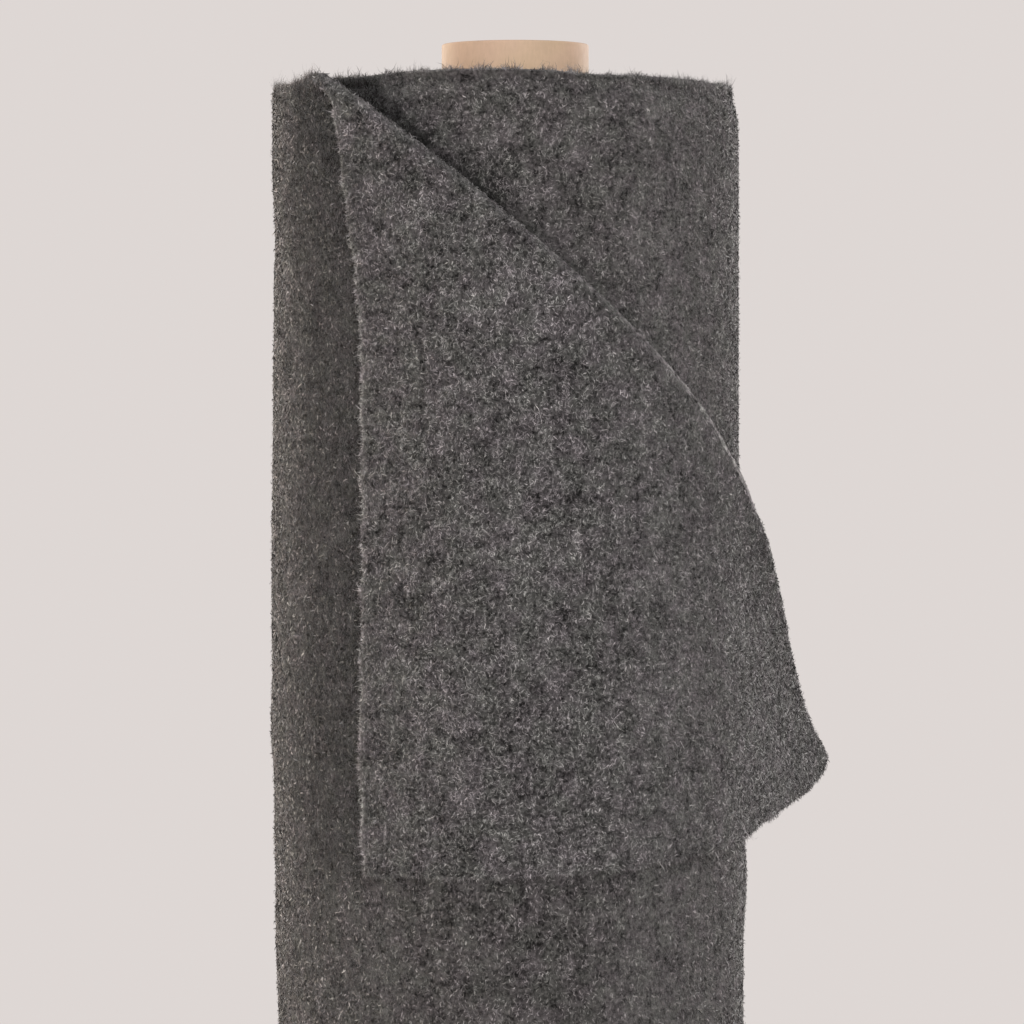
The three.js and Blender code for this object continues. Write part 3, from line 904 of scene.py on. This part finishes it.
class WoolLooks(PropertyGroup):
    """Colours and surface of the wool, and the tube's colour"""

    colour: colour_setting("Cloth colour", "Colour of the cloth's outer side", (0.1035, 0.0995, 0.0995))
    flap_colour: colour_setting("Flap colour", "Colour of the cloth's other side", (0.117, 0.1135, 0.1145))
    board: colour_setting("Board colour", "Colour of the cardboard tube", (0.60, 0.43, 0.315))
    curls: factor_setting("Curls", "Contrast of the tangled fibres", 0.55)
    clumps: factor_setting("Clumps", "Contrast of the small clumps", 1.1)
    patches: factor_setting("Patches", "Contrast of the soft patches", 1.25)
    streaks: factor_setting("Combed streaks", "Contrast of the upright streaks on the roll", 0.35)
    sheen: factor_setting("Sheen", "Light that the nap catches at its edges", 0.3)
    ground_shade: factor_setting("Ground shade", "How much darker the cloth is under its nap", 0.36)


class NapSizes(PropertyGroup):
    """Amount and size of the nap's fibres"""

    fibre_length: length_setting("Fibre length", "Usual length of a fibre", 0.0017)
    fibre_width: length_setting("Fibre width", "Usual width of a strand of fibres", 0.00038, 5)
    flap_count: count_setting("Flap fibres", "Number of fibres on the flap", 88000)
    turn_count: count_setting("Turn fibres", "Number of fibres on the loose turn", 64000)
    body_count: count_setting("Body fibres", "Number of fibres on the wound body", 42000)
    seed: IntProperty(name="Seed", description="Picks another arrangement of the fibres", default=3, min=0)


class StageLooks(PropertyGroup):
    """Floor, light and camera"""

    air: colour_setting("Surround", "Colour of the surround", (0.73, 0.68, 0.66))
    floor: colour_setting("Floor", "Colour of the floor", (0.58, 0.55, 0.535))
    key_power: power_setting("Main light", "Power of the main light", 47)
    side_power: power_setting("Back lights", "Power of the two lights behind", 46)
    warm_power: power_setting("Warm light", "Power of the warm light on the left", 13)
    camera_distance: length_setting("Camera distance", "Distance of the camera from the roll's axis", 2.5996)
    camera_height: length_setting("Camera height", "Height of the camera", 1.3337)
    camera_shift: length_setting("Camera offset", "How far right of the axis the camera stands", 0.00085, 5)
    lens: FloatProperty(name="Lens", description="Focal length of the camera", default=235.5, unit="CAMERA")


def settings():
    scene = bpy.context.scene
    return scene.roll_sizes, scene.wool_looks, scene.nap_sizes, scene.roll_stage


def finish_piece(piece, material, slot, *replaced):
    piece.data.materials.append(material)
    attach(piece, "root")
    if replaced:
        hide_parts(*replaced)
    return piece


def need(*names):
    """Raises an error if a piece of these names hasn't been added yet."""
    missing = [name for name in names if name not in bpy.data.objects]
    if missing:
        raise RuntimeError(f"add these first: {', '.join(missing)}")


FLOOR_REACH = 14.0
LIGHT_TARGET = 1.2
# Angle round the roll, height over the target, distance, size, colour, power setting and its share
LIGHTS = {
    "main_light": (4, 0.7, 2.9, 1.8, (1.0, 0.985, 0.98), "key_power", 1.0),
    "warm_light": (-88, 0.3, 2.6, 1.6, (1.0, 0.74, 0.4), "warm_power", 1.0),
    "left_light": (-138, 0.5, 2.4, 1.0, (1.0, 0.92, 0.84), "side_power", 1.0),
    "right_light": (140, 0.5, 2.4, 1.0, (1.0, 0.97, 0.94), "side_power", 0.9),
}


def add_light(name, angle, height, distance, size, colour, power):
    """A round soft light that points at the roll."""
    lamp = bpy.data.lights.new(name, "AREA")
    lamp.shape = "DISK"
    lamp.size = size
    lamp.energy = power
    lamp.color = colour
    light = bpy.data.objects.new(name, lamp)
    turn = math.radians(angle)
    target = Vector((AXIS[0], AXIS[1], LIGHT_TARGET))
    light.location = target + Vector((distance * math.sin(turn), -distance * math.cos(turn), height))
    light.rotation_euler = (target - light.location).to_track_quat("-Z", "Y").to_euler()
    bpy.context.scene.collection.objects.link(light)


class ROLL_OT_stage(Operator):
    """Adds the floor, the lights and the camera"""

    bl_idname = "cloth_roll.stage"
    bl_label = "Floor, light and camera"

    def execute(self, context):
        look = settings()[3]
        scene = context.scene
        scene.view_settings.view_transform = "Standard"
        world = bpy.data.worlds.new("pale_surround")
        world.use_nodes = True
        world.node_tree.nodes["Background"].inputs["Color"].default_value = (*look.air, 1)
        scene.world = world

        lens = bpy.data.cameras.new("camera")
        lens.sensor_width = 36
        lens.lens = look.lens
        lens.clip_end = 100
        camera = bpy.data.objects.new("camera", lens)
        camera.location = (AXIS[0] + look.camera_shift, AXIS[1] - look.camera_distance, look.camera_height)
        camera.rotation_euler = (math.pi / 2, 0, 0)
        scene.collection.objects.link(camera)
        scene.camera = camera

        reach = FLOOR_REACH / MM
        corners = np.array([[-reach, -reach, 0], [reach, -reach, 0], [reach, reach, 0], [-reach, reach, 0]])
        floor = new_mesh("floor", corners, [np.array([[0, 1, 2, 3]])], smooth=False)
        material, tree, surface = new_material("pale_floor")
        tone = calc(tree, "MULTIPLY_ADD", noise(tree, object_place(tree), 3.0, 2), 0.03, 0.985)
        fill(tree, surface, {"Base Color": shaded(tree, tuple(look.floor), tone), "Roughness": 0.9})
        floor.data.materials.append(material)

        for name, (*place, colour, power, share) in LIGHTS.items():
            add_light(name, *place, colour, share * getattr(look, power))
        return {"FINISHED"}


class ROLL_OT_tube(Operator):
    """Adds the cardboard tube"""

    bl_idname = "cloth_roll.tube"
    bl_label = "Cardboard tube"

    SIDES = 120
    RIM = 0.7
    # Angles round the rim, depth of the highest ring, bevel of the lower edge and number of levels
    BENDS = (0, 18, 36, 54, 72, 90)
    END_RING = 8
    BEVEL = 0.4
    LEVELS = 12

    def execute(self, context):
        sizes, looks, _, _ = settings()
        outer = sizes.tube_radius / MM
        inner = outer - sizes.tube_wall / MM
        height = sizes.tube_height / MM
        rim, bevel = self.RIM, self.BEVEL
        bends = [math.radians(angle) for angle in self.BENDS]
        ring = [(outer - rim + rim * math.cos(b), height - rim + rim * math.sin(b)) for b in bends]
        ring += [(inner + rim - rim * math.cos(b), height - rim + rim * math.sin(b)) for b in reversed(bends)]
        levels = [height - self.END_RING]
        levels += [height * k / self.LEVELS for k in range(self.LEVELS - 1, 0, -1)]
        ring += [(inner, level) for level in levels]
        ring += [(inner, bevel), (inner + bevel, 0), (outer - bevel, 0), (outer, bevel)]
        ring += [(outer, level) for level in reversed(levels)]
        profile = np.array(ring)
        angle = np.arange(self.SIDES) * 2 * math.pi / self.SIDES
        radius = profile[None, :, 0]
        points = np.stack(
            [
                TUBE_SHIFT + radius * np.sin(angle)[:, None],
                -radius * np.cos(angle)[:, None],
                profile[None, :, 1] + 0 * angle[:, None],
            ],
            axis=-1,
        )
        count = len(profile)
        a = np.arange(self.SIDES * count).reshape(self.SIDES, count)
        b = np.roll(a, -1, axis=0)
        quads = np.stack([a, b, np.roll(b, -1, axis=1), np.roll(a, -1, axis=1)], axis=-1).reshape(-1, 4)
        tube = new_mesh("tube_board", points.reshape(-1, 3), [quads[:, ::-1]])
        finish_piece(tube, board_material(tuple(looks.board)), "cardboard", "core_tube")
        flip_if_inward(tube)
        return {"FINISHED"}


def flip_if_inward(piece):
    """Turns the faces of a closed piece outward."""
    mesh = piece.data
    volume = sum(face.area * face.normal.dot(face.center) for face in mesh.polygons) / 3
    if volume < 0:
        mesh.flip_normals()


def top_edge(cloth, angle):
    """Height of the wound body's top edge."""
    return cloth.width - EDGE_DROP + smooth_curve(TOP_RISE, (angle - ROOT_ANGLE) % TURN + ROOT_ANGLE)


def from_axis(turn):
    """Level directions away from the axis, from their angles in radians."""
    return np.stack([np.sin(turn), -np.cos(turn), 0 * turn], axis=-1)


def wound_sections(cloth, tube_radius):
    """The spiral's sections from the tube outward.

    Returns the turns back from the outer end, the angle, the middle radius, the share of the outer turn's
    uneven girth, the shift of the centre and the levels of the top and the bottom.
    """
    inner = tube_radius + TUBE_CLEARANCE + cloth.thick / 2
    outer = ROOT_RADIUS + cloth.pitch - cloth.thick / 2
    turns = (outer - inner) / cloth.pitch
    back = np.concatenate([np.arange(turns, 1.1, -7.5 / TURN), np.arange(1.1, 0.002, -3 / TURN), [0]])
    angle = ROOT_ANGLE + TURN - TURN * back
    middle = outer - cloth.pitch * back
    gives = np.clip(1 - (back - 1) / TURNS_THAT_GIVE, 0, 1)
    uneven = 0.75 * EDGE_WAVES(back * 37.0, back * 0) + 0.35 * CLOTH_WAVES(back * 260, back * 3)
    top = top_edge(cloth, angle) - ease(back - 1) * (0.7 - 0.8 * uneven)
    bottom = 0.25 + 0.2 * (1 + EDGE_WAVES(back * 29.0, back * 0 + 7))
    return back, angle, middle, gives, TUBE_SHIFT * back / turns, top, bottom


def wound_outside(cloth, angle, height):
    """Outer face of the wound body and its normal."""
    depth = top_edge(cloth, angle) - height
    radius = cloth.wound_radius(angle, height) + smooth_curve(SHOULDER, depth)
    lean = smooth_curve(SHOULDER, depth - 1) - smooth_curve(SHOULDER, depth + 1)
    out = from_axis(np.radians(angle))
    normal = unit(out + UP * (-lean / 2)[..., None])
    return out * radius[..., None] + UP * height[..., None], normal


# Levels on the wound cloth's wall, depths below its top edge, and bends round its top and bottom edges
WALL = [260, 620, 960, 1050, 1120, 1165, 1215, 1260, 1330, 1400, 1450, 1474, 1484]
BELOW_TOP = [9, 6, 4.4, 3.2, 2.0, 1.1]
TOP_BENDS, BOTTOM_BENDS = (30, 60, 90, 120, 150), (135, 90, 45)


def wound_profile(cloth, back, top, bottom):
    """The points round the cloth's section: the side of its middle, from 1 to -1, and the level."""
    half = cloth.thick / 2
    walls = [back * 0 + height for height in WALL]
    shoulder = [top - depth for depth in BELOW_TOP]
    profile = [(1, bottom + half)]
    profile += [(1, level) for level in (*walls, *shoulder)]
    for bend in TOP_BENDS:
        turn = math.radians(bend)
        profile.append((math.cos(turn), top - half + half * math.sin(turn)))
    profile += [(-1, level) for level in (*reversed(shoulder), *reversed(walls))]
    profile.append((-1, bottom + half))
    for bend in BOTTOM_BENDS:
        turn = math.radians(bend)
        profile.append((math.cos(turn), bottom + half - half * math.sin(turn)))
    return profile


class ROLL_OT_wound(Operator):
    """Adds the wound cloth as one spiral sheet from the tube to the last turn"""

    bl_idname = "cloth_roll.wound"
    bl_label = "Wound cloth"

    # Turns back from the outer end up to which the sections are close together, and their share of the map
    CLOSE, CLOSE_SHARE = 1.1, 0.6

    def execute(self, context):
        sizes, looks, _, _ = settings()
        cloth = Cloth(sizes)
        back, angle, middle, gives, shift, top, bottom = wound_sections(cloth, sizes.tube_radius / MM)
        half = cloth.thick / 2
        turn = np.radians(angle)
        columns = []
        profile = wound_profile(cloth, back, top, bottom)
        for side, height in profile:
            change = smooth_curve(GIRTH, height) + smooth_curve(SHOULDER, top_edge(cloth, angle) - height)
            radius = middle + gives * change + half * side
            columns.append(np.stack([shift + radius * np.sin(turn), -radius * np.cos(turn), height], axis=-1))
        points = np.stack(columns, axis=1)
        count = len(profile)
        a = np.arange(len(back) * count).reshape(len(back), count)
        up = np.roll(a, -1, axis=1)
        quads = np.stack([a[:-1], a[1:], up[1:], up[:-1]], axis=-1).reshape(-1, 4)
        caps = np.stack([a[0], a[-1][::-1]])
        close = self.CLOSE_SHARE * (self.CLOSE - back) / self.CLOSE
        inner = (1 - self.CLOSE_SHARE) * (back[0] - back) / (back[0] - self.CLOSE)
        share = np.where(back > self.CLOSE, inner, 1 - self.CLOSE_SHARE + close)
        across = np.linspace(0, 1, count)[None]
        uv = np.stack(np.broadcast_arrays(share[:, None], across), axis=-1).reshape(-1, 2)
        level = points[..., 2]
        along = turn[:, None] * LYING_RADIUS
        seen = (level > cloth.fold_height(along) - 20) * (back < 1)[:, None]
        napped = 0.6 * ramp(level, NAP_LEVELS) * ramp(np.abs(angle)[:, None], (100, 88)) * seen
        # Painted shade near the fold, which the material reads as lean
        lean = np.where((back < 1)[:, None], painted_crease_shade(cloth, along, level), 1)
        marks = {"nap": napped, "ply": 0 * level, "lean": lean}
        piece = new_mesh("wound_wool", points.reshape(-1, 3), [quads, caps], uv=uv, **marks)
        flip_if_inward(piece)
        material = cloth_material("wound_wool_cloth", tuple(looks.colour), tuple(looks.colour), looks)
        finish_piece(piece, material, "wool", "wound_cloth")
        return {"FINISHED"}


class ROLL_OT_loose(Operator):
    """Adds the loose turn with its top corner folded down over the front"""

    bl_idname = "cloth_roll.loose"
    bl_label = "Loose turn and flap"

    def execute(self, context):
        sizes, looks, _, _ = settings()
        cloth = Cloth(sizes)
        grid = loose_grid(cloth)
        points, quads, kept = shell(grid["points"], grid["normals"], grid["half"], grid["used"])
        count = grid["half"].size
        cell = kept % count
        flat = grid["flat"].reshape(-1, 2)[cell]
        ply = grid["ply"].ravel()[cell]
        across = (flat[:, 0] - cloth.begin) / (CUT_END - cloth.begin)
        uv = np.stack([(across * 0.98 + (kept >= count)) / 2, flat[:, 1] / cloth.width * 0.99], axis=1)
        seen = np.where(ply > 0.5, 1, ramp(flat[:, 0], (-150, -120)))
        napped = ramp(points[:, 2], NAP_LEVELS) * seen * (0.75 + 0.25 * ply)
        # Painted light and shade, which the material reads as lean
        lean = grid["lean"].ravel()[cell]
        piece = new_mesh("loose_wool", points, [quads], uv=uv, nap=napped, ply=ply, lean=lean)
        material = cloth_material("loose_wool_cloth", tuple(looks.colour), tuple(looks.flap_colour), looks)
        finish_piece(piece, material, "wool_reverse", "loose_end")
        return {"FINISHED"}


class ROLL_OT_nap(Operator):
    """Adds the nap's fibres on the flap, the loose turn and the wound body"""

    bl_idname = "cloth_roll.nap"
    bl_label = "Nap"

    # Rows of the fold that carry the flap's nap, and the parts that it is split into
    BROW_ROWS, FLAP_PARTS = 9, 2
    # The loose turn's nap along the cloth: its ends, its start's span and how far it goes under the flap
    LEFT_END, RIGHT_END, START, UNDER_EDGE = -150, 175, (-156, -131), 7
    # Rise of the flap's cut end to the right, and how far the naps go under it and under the fold
    CUT_RISE, UNDER_CUT, UNDER_FOLD = 36, 12, 14
    BODY_ANGLE = 104

    def execute(self, context):
        need("wound_wool", "loose_wool")
        sizes, looks, nap, _ = settings()
        cloth = Cloth(sizes)
        grid = loose_grid(cloth)
        dark = fibre_material("nap_fibre", tuple(looks.colour), looks)
        light = fibre_material("flap_fibre", tuple(looks.flap_colour), looks)
        self.add_flap(grid, nap, light)
        self.add_turn(cloth, grid, nap, dark)
        self.add_body(cloth, nap, dark)
        return {"FINISHED"}

    def add_flap(self, grid, nap, material):
        first = grid["first_fold"]
        start = grid["flap"].start - self.BROW_ROWS
        points = grid["points"][first:, start:]
        normals = -grid["normals"][first:, start:]
        face = points + normals * grid["half"][first:, start:, None]
        weight = np.ones((face.shape[0] - 1, face.shape[1] - 1))
        along = grid["alongs"][first:-1, None]
        thinned = ramp(along, (5, 35)) * ramp(along, (125, 105))
        weight[:, : self.BROW_ROWS + 1] *= 1 - 0.7 * thinned
        for part in range(self.FLAP_PARTS):
            rng = np.random.default_rng(nap.seed * 10 + part)
            count = nap.flap_count // self.FLAP_PARTS
            roots, normal, side, up, between = scatter(face, normals, weight, count, rng)
            look = fibre_looks(count, rng, nap, tone=1.12)
            # The fibres' tones take the painted light and shade too
            look["tone"] = look["tone"] * between(grid["lean"][first:, start:, None])[:, 0]
            heading = headings(side, up, rng, droop=0.2, comb=0.3)
            piece = fibre_mesh(f"nap_flap_{part + 1}", roots, heading, normal, look, rng)
            finish_piece(piece, material, "wool_reverse")

    def add_turn(self, cloth, grid, nap, material):
        rows = grid["under"]
        points = grid["points"][:, rows]
        normals = grid["normals"][:, rows]
        face = points + normals * grid["half"][:, rows, None]
        flat = grid["flat"][:, rows]
        along, height = flat[:-1, :-1, 0], flat[:-1, :-1, 1]
        left = (along > self.LEFT_END) & (along < CORNER_ALONG + self.UNDER_EDGE)
        share = np.clip((along - CORNER_ALONG) / (CUT_END - CORNER_ALONG), 0, 1)
        flap_bottom = CORNER_HEIGHT + share * self.CUT_RISE + self.UNDER_CUT
        below = (along >= CORNER_ALONG - 4) & (along < self.RIGHT_END) & (height < flap_bottom)
        weight = (left | below) * ramp(height, NAP_LEVELS) * ramp(along, self.START)
        rng = np.random.default_rng(nap.seed * 10 + 4)
        count = nap.turn_count
        roots, normal, side, up, between = scatter(face, normals, weight, count, rng)
        look = fibre_looks(count, rng, nap, tone=1.12)
        spot = between(flat)
        contrast = 1 + 0.4 * ramp(spot[:, 0], (CORNER_ALONG, CORNER_ALONG - 4))
        # Painted shade of the flap, carried into the fibres' tones
        look["tone"] = look["tone"] ** contrast * painted_flap_shade(cloth, spot[:, 0], spot[:, 1])
        heading = headings(side, up, rng, droop=0.35, comb=0.5)
        piece = fibre_mesh("nap_turn", roots, heading, normal, look, rng)
        finish_piece(piece, material, "wool_reverse")

    def add_body(self, cloth, nap, material):
        angles = np.arange(-self.BODY_ANGLE, self.BODY_ANGLE + 1, 2.0)
        levels = np.arange(NAP_LEVELS[0], NAP_TOP, 4.0)
        angle, height = np.meshgrid(angles, levels, indexing="ij")
        face, normals = wound_outside(cloth, angle, height)
        along = np.radians(angle[:-1, :-1]) * LYING_RADIUS
        weight = (height[:-1, :-1] > cloth.fold_height(along) - self.UNDER_FOLD) * 1.0
        rng = np.random.default_rng(nap.seed * 10 + 5)
        count = nap.body_count
        roots, normal, side, up, _ = scatter(face, normals, weight, count, rng)
        look = fibre_looks(count, rng, nap, tone=1.08)
        around = np.arctan2(roots[:, 0], -roots[:, 1]) * LYING_RADIUS
        # Painted shade near the fold, carried into the fibres' tones
        look["tone"] = look["tone"] * painted_crease_shade(cloth, around, roots[:, 2])
        heading = headings(side, up, rng, droop=0.2, comb=0.2)
        piece = fibre_mesh("nap_body", roots, heading, normal, look, rng)
        finish_piece(piece, material, "wool")


def edge_fibres(
    points, outward, normal, rng, nap, per_mm, length, lean, tone=1.15, tufts=0.0, beads=0.0
):
    """Fibres that stand out along a free edge given by its points, leaning this way and that in tufts."""
    steps = length_of(np.diff(points, axis=0))[:, 0]
    run = np.concatenate([[0], np.cumsum(steps)])
    count = int(run[-1] * per_mm)
    place = rng.uniform(0, run[-1], count)

    def spread(values):
        return np.stack([np.interp(place, run, values[:, k]) for k in range(3)], axis=1)

    root, out, face = spread(points), unit(spread(outward)), unit(spread(normal))
    ahead = unit(np.cross(out, face))
    tuft = EDGE_WAVES(place * 1.7, place * 0 + 11)
    sway = rng.normal(0, lean, count) + 1.2 * tufts * tuft
    heading = unit(out + ahead * sway[:, None] + face * rng.normal(0, lean * 0.7, count)[:, None])
    root = root + face * rng.uniform(-1.0, 1.0, count)[:, None]
    root = root - out * rng.uniform(0.1, 1.0, count)[:, None]
    look = fibre_looks(count, rng, nap, length=length, lift=(-0.3, 0.3), standing=0, tone=tone)
    grown = np.maximum(0.5, 1 + tufts * 1.2 * EDGE_WAVES(place * 1.1, place * 0 + 31))
    bead = np.abs(np.sin(place * math.pi / 3.7 + EDGE_WAVES(place * 0.3, place * 0 + 17)))
    grown = grown * (1 - beads + 1.6 * beads * bead)
    look["length"] = look["length"] * np.exp(np.clip(rng.normal(0, 0.45, count), -2, 1.1)) * grown
    look["width"] = look["width"] * 0.4
    # Painted highlight on each bead and painted shade between them, in the fibres' tones
    look["tone"] = look["tone"] * (1 - 0.4 * beads + 0.8 * beads * bead)
    return root, heading, unit(np.cross(heading, ahead)), look


def stray_hairs(face, normals, number, rng, nap):
    """Long thin light hairs that lie loosely on a face."""
    weight = np.ones((face.shape[0] - 1, face.shape[1] - 1))
    root, normal, side, up, _ = scatter(face, normals, weight, number, rng)
    look = fibre_looks(number, rng, nap, lift=(0.5, 1.6), standing=0)
    look["length"] = rng.uniform(3.5, 8, number)
    look["width"] = rng.uniform(0.18, 0.28, number)
    look["curl"] = rng.normal(0, 0.3, number)
    look["tone"] = rng.uniform(2.0, 3.6, number)
    return root + normal * 0.2, headings(side, up, rng, 0.2), normal, look


class ROLL_OT_fuzz(Operator):
    """Adds the fuzz along the cloth's edges and its fold, and the stray hairs"""

    bl_idname = "cloth_roll.fuzz"
    bl_label = "Edge fuzz and stray hairs"

    # Number of strands on the fold, where they begin along it and how far they go
    STRANDS, STRANDS_FROM, STRANDS_REACH = 1700, 10, 105
    FLAP_STRAYS, BODY_STRAYS = 60, 40

    def execute(self, context):
        need("wound_wool", "loose_wool")
        sizes, looks, nap, _ = settings()
        cloth = Cloth(sizes)
        grid = loose_grid(cloth)
        rng = np.random.default_rng(nap.seed * 10 + 6)
        groups = [*self.body_edges(cloth, sizes, rng, nap), *self.loose_edges(grid, rng, nap)]
        groups += [self.fold_strands(cloth, rng, nap), *self.strays(cloth, grid, rng, nap)]
        roots, heading, normal = (np.concatenate([g[k] for g in groups]) for k in range(3))
        look = {key: np.concatenate([g[3][key] for g in groups]) for key in groups[0][3]}
        material = fibre_material("edge_fibre", tuple(looks.flap_colour), looks)
        piece = fibre_mesh("edge_fuzz", roots, heading, normal, look, rng)
        finish_piece(piece, material, "wool")
        return {"FINISHED"}

    def fold_strands(self, cloth, rng, nap):
        """Fibres along the fold where it is pressed sharp, with a painted highlight: lighter in tone and
        shaded as if they faced the front, most at its lower end.
        """
        count = self.STRANDS
        share = rng.beta(1.6, 1.0, count)
        along = self.STRANDS_FROM + self.STRANDS_REACH * share
        turn = cloth.brow(along) + np.abs(rng.normal(0, 0.32, count))
        point, normal = cloth.fold(along, turn)
        ahead = unit(cloth.fold(along + 1, turn)[0] - point) * rng.choice([-1, 1], count)[:, None]
        facing = unit(cloth.under(along, cloth.fold_height(along))[1] - 0.5 * normal)
        root = point - normal * (cloth.thick / 2 + rng.uniform(0, 0.3, count))[:, None]
        look = fibre_looks(count, rng, nap, length=2.6, lift=(-0.1, 0.1), standing=0, spread=0.25)
        look["width"] = look["width"] * 0.5
        look["curl"] = look["curl"] * 0.1
        # Painted highlight: the tones grow lighter towards the fold's lower end
        look["tone"] = look["tone"] * (1.15 + 0.95 * ramp(share, (0.2, 0.7)))
        return root, ahead, facing, look

    def strays(self, cloth, grid, rng, nap):
        first = grid["first_fold"]
        start = grid["flap"].start
        normals = -grid["normals"][first:, start:]
        face = grid["points"][first:, start:] + normals * cloth.thick / 2
        yield stray_hairs(face, normals, self.FLAP_STRAYS, rng, nap)
        angle, height = np.meshgrid(np.arange(-60, 90, 3.0), np.arange(1250, 1496, 4.0), indexing="ij")
        face, normals = wound_outside(cloth, angle, height)
        yield stray_hairs(face, normals, self.BODY_STRAYS, rng, nap)

    def body_edges(self, cloth, sizes, rng, nap):
        back, angle, middle, gives, shift, top, _ = wound_sections(cloth, sizes.tube_radius / MM)
        out = from_axis(np.radians(angle))
        radius = middle + gives * SHOULDER[0][1]
        points = np.stack([shift + radius * out[:, 0], radius * out[:, 1], top - 0.3], axis=-1)
        up = np.tile(UP, (len(back), 1))
        last = back < 1.02
        fuzz = {"per_mm": 34, "length": 0.85, "lean": 0.6, "tone": 1.4, "tufts": 0.4}
        yield edge_fibres(points[last], up[last], out[last], rng, nap, **fuzz)
        fuzz = {"per_mm": 1.2, "length": 0.5, "lean": 0.7}
        yield edge_fibres(points[~last], up[~last], out[~last], rng, nap, **fuzz)

    def loose_edges(self, grid, rng, nap):
        """The fuzz of the peak, the top edge left of it, the flap's free edge, its cut end and the fold."""
        points, normals = grid["points"], grid["normals"]
        first = grid["first_fold"]
        top = grid["under"].stop - 1
        rim, face = points[:first, top], normals[:first, top]
        up = np.tile(UP, (first, 1))
        fuzz = {"per_mm": 36, "length": 1.3, "lean": 0.3}
        yield edge_fibres(rim[-3:] - (0, 0, 0.5), up[-3:], face[-3:], rng, nap, **fuzz)
        fuzz = {"per_mm": 34, "length": 1.0, "lean": 0.5, "tone": 1.3, "tufts": 0.55}
        yield edge_fibres(rim, up, face, rng, nap, **fuzz)

        begin = first + 3
        edge, face = points[begin:, -1], -normals[begin:, -1]
        away = unit(edge - points[begin:, -5])
        fuzz = {"per_mm": 34, "length": 0.65, "lean": 0.8, "tone": 1.3, "tufts": 0.2, "beads": 0.6}
        root, heading, face, look = edge_fibres(edge, away, face, rng, nap, **fuzz)
        # Painted highlight of the flap's free edge, carried into the fuzz's tones
        look["tone"] = look["tone"] * (1 + 0.45 * bead_highlight(root[:, 2]))
        yield root, heading, face, look

        rows = grid["flap"]
        cut, face = points[-1, rows], -normals[-1, rows]
        away = unit(cut - points[-4, rows])
        free = len(cut) // 3
        near, far = slice(free + 1), slice(free, None)
        fuzz = {"per_mm": 16, "length": 0.5, "lean": 0.7, "tone": 1.1}
        yield edge_fibres(cut[near], away[near], face[near], rng, nap, **fuzz)
        fuzz = {"per_mm": 26, "length": 0.8, "lean": 0.8, "tone": 1.1, "tufts": 0.3}
        yield edge_fibres(cut[far], away[far], face[far], rng, nap, **fuzz)

        crest = grid["under"].stop + 5
        above = slice(first, first + int((grid["alongs"][first:] < 20).sum()))
        face = unit(points[above, crest + 1] - points[above, crest - 1])
        fuzz = {"per_mm": 14, "length": 0.5, "lean": 0.9}
        yield edge_fibres(points[above, crest], -normals[above, crest], face, rng, nap, **fuzz)


class ROLL_PT_panel(Panel):
    """Lists the roll's settings and pieces"""

    bl_idname = "ROLL_PT_panel"
    bl_label = "Cloth roll"
    bl_space_type = "VIEW_3D"
    bl_region_type = "UI"
    bl_category = "Cloth roll"

    def draw(self, context):
        for group in settings():
            box = self.layout.box()
            for name in group.__annotations__:
                box.prop(group, name)
        for operator in OPERATORS:
            self.layout.operator(operator.bl_idname)


OPERATORS = (ROLL_OT_stage, ROLL_OT_tube, ROLL_OT_wound, ROLL_OT_loose, ROLL_OT_nap, ROLL_OT_fuzz)
GROUPS = {"roll_sizes": RollSizes, "wool_looks": WoolLooks, "nap_sizes": NapSizes, "roll_stage": StageLooks}


def register():
    for kind in (*GROUPS.values(), *OPERATORS, ROLL_PT_panel):
        bpy.utils.register_class(kind)
    for name, kind in GROUPS.items():
        setattr(bpy.types.Scene, name, PointerProperty(type=kind))


def unregister():
    for name in GROUPS:
        delattr(bpy.types.Scene, name)
    for kind in reversed((*GROUPS.values(), *OPERATORS, ROLL_PT_panel)):
        bpy.utils.unregister_class(kind)


def main():
    register()
    bpy.ops.cloth_roll.stage()
    bpy.ops.cloth_roll.tube()
    bpy.ops.cloth_roll.wound()
    bpy.ops.cloth_roll.loose()
    bpy.ops.cloth_roll.nap()
    bpy.ops.cloth_roll.fuzz()


if __name__ == "__main__":
    main()
